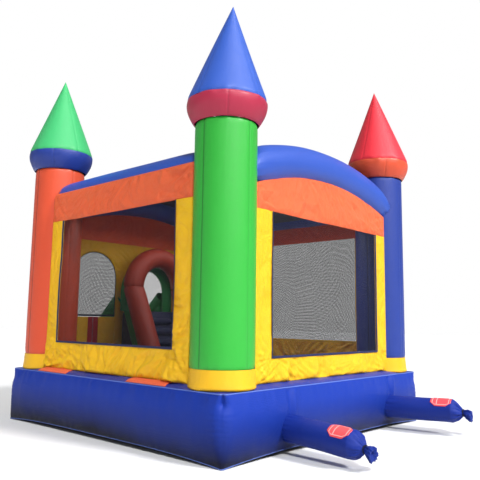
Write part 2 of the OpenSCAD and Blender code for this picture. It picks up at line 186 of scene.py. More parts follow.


# What all the cloth shares: faded and brighter patches, handling creases, the scrim's crossed threads under
# the coating, and painted shade that darkens the cloth towards the ground
cloth_effect, given, made = new_effect(
    "cloth_surface",
    [
        ("Colour", "NodeSocketColor", (1, 1, 1, 1)),
        ("Crease", "NodeSocketFloat", 0.5),
        ("Crease Scale", "NodeSocketFloat", 5.0),
        ("Weave", "NodeSocketFloat", 0.3),
        ("Ground Shade", "NodeSocketFloat", 0.5),
        ("Gloss", "NodeSocketFloat", 0.4),
    ],
    [("Colour", "NodeSocketColor"), ("Roughness", "NodeSocketFloat"), ("Normal", "NodeSocketVector")],
)
place = cloth_effect.nodes.new("ShaderNodeTexCoord").outputs["Object"]
apart = cloth_effect.nodes.new("ShaderNodeSeparateXYZ")
cloth_effect.links.new(place, apart.inputs[0])
patches = noise_of(cloth_effect, place, 0.8, 4.0, stir=0.4)
mottle = noise_of(cloth_effect, place, 9.0, 5.0)
creased = cloth_effect.nodes.new("ShaderNodeVectorMath")
creased.operation = "SCALE"
cloth_effect.links.new(place, creased.inputs[0])
cloth_effect.links.new(given.outputs["Crease Scale"], creased.inputs["Scale"])
folds = noise_of(cloth_effect, creased.outputs[0], 1.0, 5.0, stir=0.8)
lines = noise_of(cloth_effect, creased.outputs[0], 0.7, 3.0, "RIDGED_MULTIFRACTAL", 0.6, 0.5)
threads = 0.0
for axis in range(3):
    turn = maths(cloth_effect, "MULTIPLY", apart.outputs[axis], 2 * pi / 0.005)
    threads = maths(cloth_effect, "ADD", maths(cloth_effect, "SINE", turn), threads)
# Painted shade: the colour darkens to near-black navy towards the ground, as if the low cloth lay in shade
low_down = cloth_effect.nodes.new("ShaderNodeMapRange")
low_down.inputs["From Min"].default_value = 0.54
low_down.inputs["From Max"].default_value = 0.0
cloth_effect.links.new(apart.outputs[2], low_down.inputs["Value"])
spread = maths(cloth_effect, "ADD", maths(cloth_effect, "MULTIPLY", patches, 0.7), 0.4)
ground_shade_mask = maths(cloth_effect, "MULTIPLY", maths(cloth_effect, "POWER", low_down.outputs[0], 1.3), spread)
ground_shade_mask = maths(cloth_effect, "MULTIPLY", ground_shade_mask, given.outputs["Ground Shade"], clamp=True)
worn = maths(cloth_effect, "MULTIPLY", maths(cloth_effect, "SUBTRACT", patches, 0.35), 0.5, clamp=True)
deep = blended(cloth_effect, 1.0, given.outputs["Colour"], (0.80, 0.78, 0.80, 1), "MULTIPLY")
tinted = blended(cloth_effect, worn, deep, given.outputs["Colour"])
speckle = maths(cloth_effect, "MULTIPLY", mottle, 0.10)
tinted = blended(cloth_effect, speckle, tinted, (1, 1, 1, 1), "SOFT_LIGHT")
tinted = blended(cloth_effect, ground_shade_mask, tinted, (0.004, 0.005, 0.020, 1))
# Painted shade along panel seams, read from the seam attribute, as if shade lay in their grooves
seam_shade_mask = cloth_effect.nodes.new("ShaderNodeAttribute")
seam_shade_mask.attribute_name = "seam"
seam_shaded = blended(cloth_effect, 1.0, tinted, (0.16, 0.18, 0.24, 1), "MULTIPLY")
tinted = blended(cloth_effect, seam_shade_mask.outputs["Fac"], tinted, seam_shaded)
cloth_effect.links.new(tinted, made.inputs["Colour"])
rough = maths(cloth_effect, "ADD", given.outputs["Gloss"], maths(cloth_effect, "MULTIPLY", mottle, 0.16))
cloth_effect.links.new(rough, made.inputs["Roughness"])
soft_folds = maths(cloth_effect, "MULTIPLY", folds, given.outputs["Crease"])
faint_lines = maths(cloth_effect, "MULTIPLY", lines, 0.12)
sharp_folds = maths(cloth_effect, "MULTIPLY", faint_lines, given.outputs["Crease"])
hand = bumped(cloth_effect, maths(cloth_effect, "ADD", soft_folds, sharp_folds), 0.02)
weave_height = maths(cloth_effect, "MULTIPLY", threads, given.outputs["Weave"])
cloth_effect.links.new(bumped(cloth_effect, weave_height, 0.0004, hand), made.inputs["Normal"])


def coated_cloth(
    name, colour, crease=0.35, crease_scale=3.0, weave=0.5, ground_shade=0.4, gloss=0.36, coat=0.08, through=0.0,
    shine=0.28,
):
    """A material of cloth with this colour; coat and shine are those of its plastic coating, and
    through is how much daylight comes through it."""
    finish, tree, surface = new_finish(name)
    effect = tree.nodes.new("ShaderNodeGroup")
    effect.node_tree = cloth_effect
    # The value after weave sets how strongly painted shade darkens the cloth towards the ground
    for socket, value in zip(effect.inputs, (colour, crease, crease_scale, weave, ground_shade, gloss)):
        socket.default_value = value
    for given_out, taken in [("Colour", "Base Color"), ("Roughness", "Roughness"), ("Normal", "Normal")]:
        tree.links.new(effect.outputs[given_out], surface.inputs[taken])
    surface.inputs["Coat Weight"].default_value = coat
    surface.inputs["Coat Roughness"].default_value = 0.3
    surface.inputs["Specular IOR Level"].default_value = shine
    surface.inputs["Subsurface Weight"].default_value = through
    surface.inputs["Subsurface Radius"].default_value = (1.0, 0.45, 0.2)
    surface.inputs["Subsurface Scale"].default_value = 0.012
    return finish


def weld(made, gap):
    """Joins points closer than this gap, as where a skin meets itself, and turns its faces outwards."""
    bmesh.ops.remove_doubles(made, verts=made.verts, dist=gap)
    bmesh.ops.recalc_face_normals(made, faces=made.faces)


def grid_of(across, along, put, close_across=False):
    """A grid of cells whose points put(u, v) places, with u and v from 0 to 1. It may close on itself."""
    made = bmesh.new()
    bmesh.ops.create_grid(made, x_segments=across, y_segments=along, size=1)
    for point in made.verts:
        u = round((point.co.x + 1) / 2 * across) / across
        v = round((point.co.y + 1) / 2 * along) / along
        point.co = put(u, v)
    if close_across:
        bmesh.ops.remove_doubles(made, verts=made.verts, dist=0.0002)
    bmesh.ops.recalc_face_normals(made, faces=made.faces)
    return made


def finished(name, made, finish, slot_name, replaced, body="house", thick=0.0):
    """The piece's own object: its mesh, its material, the body that it moves with, and the nodes that it
    stands for."""
    mesh = bpy.data.meshes.new(name)
    made.to_mesh(mesh)
    made.free()
    mesh.polygons.foreach_set("use_smooth", [True] * len(mesh.polygons))
    mesh.materials.append(finish)
    piece = bpy.data.objects.new(name, mesh)
    bpy.context.scene.collection.objects.link(piece)
    if thick:
        wall = piece.modifiers.new("thickness", "SOLIDIFY")
        wall.thickness = thick
        wall.offset = 0
    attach(piece, body)
    if replaced:
        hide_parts(*replaced)
    return piece


def air_filled(name, made, finish, slot_name, node_name):
    """A finished piece that air holds in shape."""
    finished(name, made, finish, slot_name, [node_name])


def at_side(side, out, along, up):
    """A point of side 0 left, 1 rear, 2 right or 3 front: how far out, how far along it, and how high."""
    turn = side * pi / 2
    return Vector((out * cos(turn) - along * sin(turn), out * sin(turn) + along * cos(turn), up))


def drift(x, y, z):
    """A smooth random value, about -1 to 1, that belongs to a place."""
    return noise.noise(Vector((x, y, z)))


def fades(away, reach):
    """1 at an edge, and less and less away from it."""
    return exp(-max(0, away) / reach)


def seam_folds(along, away, pitch, depth, reach, seed=0.0):
    """The depth of the small folds that stitching draws into cloth, along a seam and away from it."""
    return depth * drift(along / pitch, seed, 0.3 * away / pitch) * exp(-away / reach)


seam_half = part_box("bounce_floor")[1].x
seam_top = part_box("base_sides")[1].z + 0.004
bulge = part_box("base_sides")[1].x - seam_half
tube_roots = [(1.000, 0.262), (-1.150, 0.279)]


def corner_round(v):
    """The radius of the base's corners, sharp at the ground and soft at the top."""
    return 0.016 + 0.05 * v + 0.07 * sin(pi * v)


def round_square(along, half, radius):
    """(out, along) of a rounded square's point and the way that its side faces there."""
    straight = half - radius
    if abs(along) <= straight:
        return half, along, 1.0, 0.0
    over = abs(along) - straight
    size = hypot(radius, over)
    sign = 1 if along > 0 else -1
    face_out, face_along = radius / size, over / size
    out, shifted = straight + radius * face_out, straight + radius * face_along
    return out, sign * shifted, face_out, sign * face_along


def ground_lift(along):
    """How far the ground seam is lifted, between the corners."""
    return 0.052 * (1 - (along / seam_half) ** 4)


def base_skin(u, v):
    side = min(int(u * 4), 3)
    s = u * 8 - 2 * side - 1
    along = seam_half * (0.72 * s + 0.28 * sin(s * pi / 2))
    out, shifted, face_out, face_along = round_square(along, seam_half, corner_round(v))
    lift = ground_lift(along)
    up = lift + (seam_top - lift) * v
    from_corner = seam_half - abs(along)
    push = bulge * sin(pi * v) ** 0.75 * (0.55 + 0.45 * min(1, from_corner / 0.35))
    under = max(0.0, seam_top - up)
    round_place = 4 * side * seam_half + along
    push += seam_folds(round_place, under, 0.055, 0.010, 0.07, 3.0) * min(1, under / 0.02)
    push += seam_folds(round_place, under, 0.16, 0.012, 0.16, 8.0) * min(1, under / 0.03)
    push += seam_folds(round_place, up - lift, 0.06, 0.007, 0.05, 5.0) * min(1, (up - lift) / 0.02)
    push += 0.010 * drift(round_place * 1.1, up * 1.5, 1.7) * sin(pi * v)
    near = exp(-((from_corner / 0.13) ** 2))
    ripple = sin(2 * pi * up / 0.043 + 3 * drift(side * 3.0, up * 9, face_along))
    push += 0.0055 * ripple * near * sin(pi * v) ** 0.5 * (1 - 0.55 * near)
    dent = exp(-((from_corner / (0.02 + 0.42 * under)) ** 2)) * exp(-((under - 0.07) / 0.07) ** 2)
    push -= 0.055 * dent
    if side == 1:
        for root_x, root_up in tube_roots:
            line = (along + root_x - 0.02) / (0.03 + 0.10 * max(0, up - root_up - 0.13))
            rise = min(1, max(0, (up - root_up - 0.08) / 0.06)) * min(1, under / 0.03)
            push += (0.020 * exp(-((line - 1.2) ** 2)) - 0.022 * exp(-(line**2))) * rise
            push -= 0.020 * exp(-((along + root_x) ** 2 + (up - root_up) ** 2) / 0.055)
    return at_side(side, out + push * face_out, shifted + push * face_along, up)


# The base takes the strongest painted shade, near black low on its sides
base_cloth = coated_cloth(
    "base_cloth", paint(27, 58, 162), 0.30, 2.2, ground_shade=1.5, gloss=0.34, coat=0.0, shine=0.14
)
air_filled("base_side_cloth", grid_of(640, 44, base_skin, True), base_cloth, "base_vinyl", "base_sides")


def underside(u, v):
    x, y = (2 * u - 1) * seam_half, (2 * v - 1) * seam_half
    edge = seam_half - max(abs(x), abs(y))
    lift = ground_lift(y if abs(x) > abs(y) else x)
    return Vector((x, y, 0.001 + lift * exp(-edge / 0.11) + 0.002 * (1 + drift(x * 4, y * 4, 0))))


# The underside's near black is painted shade for the strip seen under the bulging sides
underside_shade_cloth = coated_cloth("underside_cloth", paint(20, 22, 28), 0.5, 6.0, weave=1.2, gloss=0.55, coat=0.0)
base_underside = finished(
    "base_underside_cloth", grid_of(132, 132, underside), underside_shade_cloth, "underside_vinyl", ["base_underside"]
)


def shelf_rise(along, front, edge):
    """How far air lifts the floor sheet above its seam: a soft bolster along each side, lower at the corners
    and in front of the entrance."""
    middle = min(1.0, max(0.0, (seam_half - abs(along) - 0.30) / 0.45))
    crest = 0.012 + (0.0 if front else 0.036) * middle * middle * (3 - 2 * middle)
    inner = exp(-max(0.0, edge - 0.16) / 0.14)
    return (0.010 + (crest - 0.010) * inner) * (1 - exp(-edge / 0.05))


baffle_count = 5
baffle_pitch = 2 * seam_half / (baffle_count + 1)


def floor_sheet(u, v):
    s, t = 2 * u - 1, 2 * v - 1
    x, y = seam_half * (0.8 * s + 0.2 * sin(s * pi / 2)), seam_half * (0.8 * t + 0.2 * sin(t * pi / 2))
    radius = corner_round(1.0)
    straight = seam_half - radius
    if abs(x) > straight and abs(y) > straight:
        over_x, over_y = abs(x) - straight, abs(y) - straight
        shrink = max(over_x, over_y) / hypot(over_x, over_y)
        x = (straight + over_x * shrink) * (1 if x > 0 else -1)
        y = (straight + over_y * shrink) * (1 if y > 0 else -1)
    edge = seam_half - max(abs(x), abs(y))
    nearest = (x / baffle_pitch) % 1.0
    nearest = min(nearest, 1 - nearest) * baffle_pitch
    inside = min(1, max(0, (edge - 0.14) / 0.15))
    valley = 0.030 * exp(-((nearest / 0.075) ** 2)) * inside
    stitch = 0.004 * sin(2 * pi * y / 0.05) * exp(-((nearest / 0.05) ** 2)) * inside
    crown = shelf_rise(y if abs(x) > abs(y) else x, y < -abs(x), edge)
    gather = seam_folds(x + y, edge, 0.06, 0.006, 0.05, 4.0) * min(1, edge / 0.01)
    return Vector((x, y, seam_top + crown - valley + stitch + gather))


floor_cloth = coated_cloth("floor_cloth", paint(32, 58, 156), 0.35, 2.5, ground_shade=0.0, gloss=0.34)
bounce_floor = finished(
    "bounce_floor_cloth", grid_of(200, 200, floor_sheet), floor_cloth, "base_vinyl", ["bounce_floor"]
)


def edging(name, path):
    """A thin round piping that follows a path."""
    radius, sides = 0.0065, 6

    def put(u, v):
        here = path(u)
        way = (path(min(1, u + 0.0005)) - path(max(0, u - 0.0005))).normalized()
        flat = way.cross(Vector((0, 0, 1))).normalized()
        rise = flat.cross(way)
        return here + radius * (flat * cos(2 * pi * v) + rise * sin(2 * pi * v))

    made = grid_of(640, sides, put)
    weld(made, 0.0002)
    finished(name, made, piping_cloth, "base_vinyl", [])


piping_cloth = coated_cloth("piping_cloth", paint(96, 124, 208), 0.0, 5.0, weave=0.6, ground_shade=0.3, gloss=0.42)
edging("base_top_piping", lambda u: base_skin(u, 1.0) + Vector((0, 0, 0.002)))
edging("base_ground_piping", lambda u: base_skin(u, 0.0) + Vector((0, 0, 0.006)))

# --- Floor baffles and shelf pads ---
# Five tension sheets join the floor sheet to the underside inside the base and keep it flat. They never show,
# so the CAD's own sheets keep their places. Four coral pads of coated cloth are glued to the shelf
# outside the side walls.


def finish_node(node_name, finish):
    """Gives a CAD node this material in place of its plain one."""
    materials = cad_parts[node_name].data.materials
    materials.clear()
    materials.append(finish)


baffle_cloth = coated_cloth("baffle_cloth", paint(143, 152, 173), 0.4, 6.0, 1.5, 0.0, 0.6, 0.0)
finish_node("floor_baffles", baffle_cloth)
coral_cloth = coated_cloth("coral_cloth", paint(252, 112, 78), 0.25, 5.0, ground_shade=0.0, gloss=0.40)
pad_low, pad_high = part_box("shelf_pads")
pad_length = 0.650
for side in (-1, 1):
    for pad_start in (pad_low.y, pad_high.y - pad_length):

        def pad_surface(u, v):
            across, along = abs(2 * u - 1), abs(2 * v - 1)
            inner = pad_high.x - 0.110
            x = inner + (pad_high.x - 0.004 - inner) * u
            slack = 0.003 * drift(x * 14, (pad_start + v) * 9, side)
            dome = 0.010 * (1 - across**8) * (1 - along**12)
            under = seam_top + shelf_rise(pad_start + pad_length * v, False, seam_half - x)
            up = under + 0.003 + dome + slack * (1 - across**4)
            return Vector((side * x, pad_start + pad_length * v, up))

        pad_side = "left" if side > 0 else "right"
        pad_end = "front" if pad_start < 0 else "rear"
        pad = finished(
            f"shelf_pad_{pad_side}_{pad_end}", grid_of(10, 56, pad_surface), coral_cloth, "pad_vinyl",
            ["shelf_pads"], thick=0.004,
        )

# --- Turrets ---
# Each corner turret is a stack of four air-filled cloth tubes: a yellow foot sewn to the floor sheet, a tall
# column of four panels, a flared collar and a cone-shaped spire. Every joint is a gathered, stitched seam.
turret_radius = 0.334
turret_places = {"rear_left": (1, 1), "front_left": (1, -1), "rear_right": (-1, 1), "front_right": (-1, -1)}
turret_axis = 1.631
foot_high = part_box("rear_left_column")[0].z
column_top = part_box("rear_left_column")[1].z
collar_low, collar_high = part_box("rear_left_collar")
collar_radius = (collar_high.x - collar_low.x) / 2
spire_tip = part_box("rear_left_spire")[1].z


def spun(profile, steps=240):
    """A round skin: a profile of (radius, height) points turned once about the upright axis."""
    made = bmesh.new()
    points = [made.verts.new((radius, 0, up)) for radius, up in profile]
    joins = [made.edges.new(pair) for pair in zip(points, points[1:])]
    bmesh.ops.spin(
        made, geom=points + joins, cent=(0, 0, 0), axis=(0, 0, 1), angle=2 * pi, steps=steps, use_merge=True
    )
    weld(made, 0.0003)
    return made


def gather_round(made, seams, depth, seed):
    """Draws a round skin into small upright folds beside each seam, given by its height."""
    pitch, reach = 0.045, 0.05
    for point in made.verts:
        x, y = point.co.x, point.co.y
        radius = hypot(x, y)
        if radius < 0.02:
            continue
        pull = 0.0
        ways = radius / pitch / 2.2
        for number, seam in enumerate(seams):
            away = abs(point.co.z - seam)
            fold = drift(x / radius * ways, y / radius * ways, seed + 7.3 * number + away * 1.5)
            wide = drift(x / radius * 2.1, y / radius * 2.1, seed + 3.1 * number)
            pull += depth * fold * (0.65 + 0.9 * wide) * exp(-away / reach)
        point.co.x += x / radius * pull
        point.co.y += y / radius * pull


def panel_seams(made, turns, depth, low, high, deepest_shade):
    """Pulls a round skin in along its upright panel seams, with small puckers across them, and paints shade
    along them as if it lay in a sewn groove. The first seam and its opposite are folded over and get darker
    painted shade."""
    groove_shade_layer = made.verts.layers.float.new("seam")
    for point in made.verts:
        angle = atan2(point.co.y, point.co.x)
        radius = hypot(point.co.x, point.co.y)
        if radius < 0.05 or not low < point.co.z < high:
            continue
        for turn in turns:
            away = abs((angle - turn + pi) % (2 * pi) - pi) * radius
            if away < 0.10:
                pucker = 0.35 * drift(point.co.z / 0.035, turn, 2.0) * exp(-away / 0.03)
                pull = depth * (exp(-away / 0.010) - pucker)
                groove_shade = deepest_shade if turns.index(turn) % 2 == 0 else 0.25 * deepest_shade
                point[groove_shade_layer] = max(point[groove_shade_layer], groove_shade * max(0.0, 1 - away / 0.011))
                point.co.x -= pull * cos(angle)
                point.co.y -= pull * sin(angle)


def column_profile(low, high, radius):
    """A tube drawn in a little at both of its seams."""
    pinch, step = 0.010, 0.022
    count = round((high - low) / step)
    heights = [low + (high - low) * i / count for i in range(count + 1)]
    return [(radius - pinch * (exp(-(z - low) / 0.016) + exp(-(high - z) / 0.016)), z) for z in heights]


foot_profile = [(turret_radius - 0.03, seam_top + 0.006)]
foot_profile += [
    (turret_radius - 0.006 + 0.022 * sin(i / 5 * pi / 2), seam_top + 0.006 + 0.006 * i) for i in range(1, 6)
]
foot_bulge, bulge_up = 0.016, seam_top + 0.036
foot_profile += [
    (turret_radius + foot_bulge - foot_bulge * (i / 12) ** 0.7, bulge_up + (foot_high - bulge_up) * i / 12)
    for i in range(1, 13)
]

collar_profile = []
for i in range(23):
    t = i / 22
    flare = 0.350 + (collar_radius - 0.350) * sin(min(1, t / 0.85) * pi / 2) ** 0.95
    swell = -0.007 * exp(-t / 0.04) - 0.008 * exp(-(1 - t) / 0.04)
    collar_profile.append((flare + swell, column_top + (collar_high.z - column_top) * t))

spire_profile = []
for i in range(61):
    t = i / 60
    radius = (collar_radius + 0.003) * (1 - t) - 0.016 * exp(-t / 0.014)
    spire_profile.append((radius if i < 60 else 0.0, collar_high.z + (spire_tip - collar_high.z) * t))

yellow_cloth = coated_cloth("yellow_cloth", paint(246, 190, 28), 0.22, 4.0, ground_shade=0.0, gloss=0.36)
turret_cloths = {}
for tint, colour, gloss, coat, shine in [
    ("green", paint(48, 178, 58), 0.30, 0.2, 0.28),
    ("orange", paint(222, 82, 48), 0.32, 0.2, 0.28),
    ("royal", paint(30, 58, 146), 0.34, 0.08, 0.35),
    ("crimson", paint(182, 42, 72), 0.32, 0.2, 0.28),
    ("spire_blue", paint(44, 90, 190), 0.36, 0.08, 0.45),
    ("mint", paint(66, 190, 112), 0.34, 0.08, 0.28),
    ("red", paint(244, 52, 66), 0.34, 0.08, 0.28),
    ("amber", paint(255, 160, 40), 0.34, 0.08, 0.28),
]:
    turret_cloths[tint] = coated_cloth(
        f"{tint}_cloth", colour, 0.22, 2.6, ground_shade=0.0, gloss=gloss, coat=coat, shine=shine
    )
tints = {
    "rear_left": ("green", "crimson", "spire_blue"),
    "front_left": ("orange", "royal", "mint"),
    "rear_right": ("royal", "orange", "red"),
    "front_right": ("crimson", "green", "amber"),
}
quarter_turns = [0, pi / 2, pi, -pi / 2]
leans = {
    "rear_left": (-0.036, 0.036), "front_left": (0.006, 0.010), "rear_right": (0.022, -0.024),
    "front_right": (-0.014, 0.008),
}
for number, (corner, (side_x, side_y)) in enumerate(turret_places.items()):
    stack = [
        ("foot", foot_profile, "yellow_vinyl", "turret_feet", [seam_top + 0.02, foot_high], 0.014, []),
        ("column", column_profile(foot_high, column_top, turret_radius), f"{tints[corner][0]}_vinyl",
         f"{corner}_column", [foot_high, column_top], 0.010, quarter_turns),
        ("collar", collar_profile, f"{tints[corner][1]}_vinyl", f"{corner}_collar",
         [column_top, collar_high.z], 0.018, [pi / 4, -3 * pi / 4]),
        ("spire", spire_profile, f"{tints[corner][2]}_vinyl", f"{corner}_spire",
         [collar_high.z], 0.016, quarter_turns),
    ]
    for level, (part, profile, slot_name, node_name, seams, depth, turns) in enumerate(stack):
        skin = spun(profile)
        gather_round(skin, seams, depth, 11.0 * number + 2.7 * level)
        # Column seams get the deepest painted groove shade
        deepest_shade = 0.85 if part == "column" else 0.22
        panel_seams(skin, turns, 0.0045, foot_high + 0.01, spire_tip - 0.15, deepest_shade)
        for point in skin.verts:
            tilt = max(0.0, (point.co.z - column_top) / (spire_tip - column_top)) ** 1.5
            point.co.x += leans[corner][0] * tilt
            point.co.y += leans[corner][1] * tilt
        bmesh.ops.translate(skin, verts=skin.verts, vec=(side_x * turret_axis, side_y * turret_axis, 0))
        cloth = yellow_cloth if part == "foot" else turret_cloths[tints[corner][level - 1]]
        piece_name = f"{corner}_{part}_cloth"
        air_filled(piece_name, skin, cloth, slot_name, node_name)

# --- Beams ---
# Air-filled tubes of blue coated cloth join the turrets: straight ones over the side walls, arched ones over
# the front and rear walls. Their ends are cut to the column's curve and sewn to it with a gathered seam.
beam_cloth = coated_cloth("beam_cloth", paint(44, 84, 184), 0.25, 2.6, ground_shade=0.0, gloss=0.36, shine=0.4)


def column_edge(offset, tuck=0.0):
    """How far along a wall a turret's skin lies, at a point this far outside the turret's own axis."""
    radius = turret_radius - tuck
    return turret_axis - sqrt(max(0.0004, radius * radius - offset * offset))


beam_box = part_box("left_beam")
side_beam_radius = (beam_box[1].x - beam_box[0].x) / 2
side_beam_out, side_beam_up = beam_box[1].x - side_beam_radius, beam_box[1].z - side_beam_radius
for side, node_name in [(0, "left_beam"), (2, "right_beam")]:

    def beam_skin(u, v):
        t = 2 * u - 1
        t = 0.80 * t + 0.20 * sin(t * pi / 2)
        turn = 2 * pi * v
        reach = column_edge(side_beam_out + side_beam_radius * cos(turn) - turret_axis, 0.006)
        along = t * reach
        away = reach - abs(along)
        drawn = side_beam_radius - 0.042 * exp(-away / 0.055)
        seed = 4.0 if t > 0 else 3.0
        drawn += seam_folds(turn * side_beam_radius * 3 + side, away, 0.11, 0.022, 0.09, seed)
        drawn += 0.006 * drift(along * 0.9, cos(turn), sin(turn) + side)
        drawn -= 0.005 * exp(-abs((turn - 0.9 * pi + pi) % (2 * pi) - pi) * side_beam_radius / 0.010)
        return at_side(side, side_beam_out + drawn * cos(turn), along, side_beam_up + drawn * sin(turn))

    beam = grid_of(150, 64, beam_skin)
    weld(beam, 0.0003)
    air_filled(f"{node_name}_cloth", beam, beam_cloth, "beam_vinyl", node_name)

arch_radius, arch_centre_up, arch_beam_out, arch_beam_radius = 4.150, -0.920, 1.710, 0.225
for side, node_name in [(1, "rear_arch_beam"), (3, "front_arch_beam")]:

    def arch_skin(u, v):
        t = 2 * u - 1
        t = 0.80 * t + 0.20 * sin(t * pi / 2)
        turn = 2 * pi * v
        reach = column_edge(arch_beam_out + arch_beam_radius * cos(turn) - turret_axis, 0.006)
        ring = arch_radius + arch_beam_radius * sin(turn)
        end = asin(reach / ring)
        away = (1 - abs(t)) * end * ring
        drawn = arch_beam_radius - 0.052 * exp(-away / 0.07)
        seed = 7.0 if t > 0 else 6.0
        drawn += seam_folds(turn * arch_beam_radius * 3 + side, away, 0.12, 0.026, 0.10, seed)
        drawn += 0.007 * drift(t * 2.5, cos(turn) + side, sin(turn))
        drawn -= 0.005 * exp(-abs((turn - 0.25 * pi + pi) % (2 * pi) - pi) * arch_beam_radius / 0.010)
        ring = arch_radius + drawn * sin(turn)
        return at_side(
            side, arch_beam_out + drawn * cos(turn), ring * sin(t * end), arch_centre_up + ring * cos(t * end)
        )

    beam = grid_of(170, 72, arch_skin)
    weld(beam, 0.0003)
    air_filled(f"{node_name}_cloth", beam, beam_cloth, "beam_vinyl", node_name)

# --- Roof ---
# One sheet of slate coated cloth is sewn between the four beams and cut out at its corners for the columns.
# It hangs as a shallow vault, with soft dips between the lines that pull it tight.
roof_low, roof_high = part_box("roof_panel")


def roof_sheet(u, v):
    x, y = roof_low.x + (roof_high.x - roof_low.x) * u, roof_low.y + (roof_high.y - roof_low.y) * v
    from_turret = Vector((abs(x) - turret_axis, abs(y) - turret_axis))
    if from_turret.length < turret_radius + 0.004:
        from_turret = from_turret.normalized() * (turret_radius + 0.004)
        x = (turret_axis + from_turret.x) * (1 if x > 0 else -1)
        y = (turret_axis + from_turret.y) * (1 if y > 0 else -1)
    up = arch_centre_up + sqrt(arch_radius**2 - x * x)
    edge = min(roof_high.x - abs(x), roof_high.y - abs(y))
    held = 1 - fades(edge, 0.25)
    slack = 0.030 * drift(x * 1.3, y * 0.9, 4.0) + 0.012 * drift(x * 5, y * 2.2, 9.0)
    rib = 0.010 * sin(pi * y / 0.49) ** 2
    return Vector((x, y, up + (slack - rib) * held))


cloth_thick = 0.003
roof_cloth = coated_cloth(
    "roof_cloth", paint(58, 68, 87), 0.45, 4.0, weave=0.8, ground_shade=0.0, gloss=0.44, coat=0.05
)
roof = finished(
    "roof_sheet", grid_of(130, 130, roof_sheet), roof_cloth, "roof_cloth", ["roof_panel"], thick=cloth_thick
)

# --- Wall panels ---
# Each wall is a U of thin yellow vinyl-faced cloth round three sides of its window. It is sewn to the floor
# sheet, the columns and the valance with a little cloth to spare, so it hangs in soft slanting folds.
wall_out = (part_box("left_wall_panel")[0].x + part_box("left_wall_panel")[1].x) / 2
wall_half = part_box("left_wall_panel")[1].y
wall_foot = seam_top + 0.012
sewn_in = 0.006
side_sill, side_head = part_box("left_window_mesh")[0].z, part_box("left_window_mesh")[1].z
rear_sill, rear_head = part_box("rear_window_mesh")[0].z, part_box("rear_window_mesh")[1].z
window_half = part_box("left_window_mesh")[1].y


def billow(side, along, up):
    """How far wind and the cloth's hang push a whole wall out of its plane, the same for all its pieces."""
    held = 1 - fades(wall_half - abs(along), 0.20)
    held *= 1 - fades(up - wall_foot, 0.18)
    slow = drift(along * 0.8 + 5 * side, up * 0.9, 2.0 + side)
    held *= 0.15 if side == 3 else 1
    return (0.022 * slow + 0.008 * drift(along * 3.1, up * 2.4, 7.0 * side)) * held


def pulled_folds(side, along, up, corners, depth):
    """Sharp folds that fan out from the corners where the cloth is pulled, fading away from each."""
    total = 0.0
    for number, (pull_along, pull_up) in enumerate(corners):
        reach = hypot(along - pull_along, up - pull_up)
        turn = atan2(up - pull_up, along - pull_along)
        fold = 1 - 3.0 * abs(drift(turn * 4.0, 0.5 * reach, 4.0 * side + 9 * number))
        total += fold * min(1.0, reach / 0.12) * exp(-reach / 0.55)
    return depth * total


def crumple(side, along, up, depth, lean_way):
    """Short folds that slant about this way, all over a sheet that has a little cloth to spare."""
    lean_way += 0.5 * drift(along * 0.9, up * 0.9, 20.0 + side)
    a = along * cos(lean_way) + up * sin(lean_way)
    b = up * cos(lean_way) - along * sin(lean_way)
    wide = 1 - 3.0 * abs(drift(a / 0.32, b / 0.105, 3.0 * side))
    fine = 1 - 3.0 * abs(drift(a / 0.17, b / 0.046, 3.0 * side + 5))
    return depth * (0.68 * wide + 0.32 * fine)


def divisions(stops, step):
    """Places along a line that hit each stop, with even steps of about this length between them."""
    places = [stops[0]]
    for start, end in zip(stops, stops[1:]):
        count = max(1, round((end - start) / step))
        places += [start + (end - start) * (i + 1) / count for i in range(count)]
    return places


def cloth_grid(across, along, put, hole=None):
    """A grid with lines at the given places, without the cells that the hole covers, moved by put(a, b)."""
    made = bmesh.new()
    bmesh.ops.create_grid(made, x_segments=len(across) - 1, y_segments=len(along) - 1, size=1)
    for point in made.verts:
        a = across[round((point.co.x + 1) / 2 * (len(across) - 1))]
        b = along[round((point.co.y + 1) / 2 * (len(along) - 1))]
        point.co = (a, b, 0)
    if hole:
        covered = [face for face in made.faces if hole(*face.calc_center_median().xy)]
        bmesh.ops.delete(made, geom=covered, context="FACES")
    for point in made.verts:
        point.co = put(point.co.x, point.co.y)
    return made


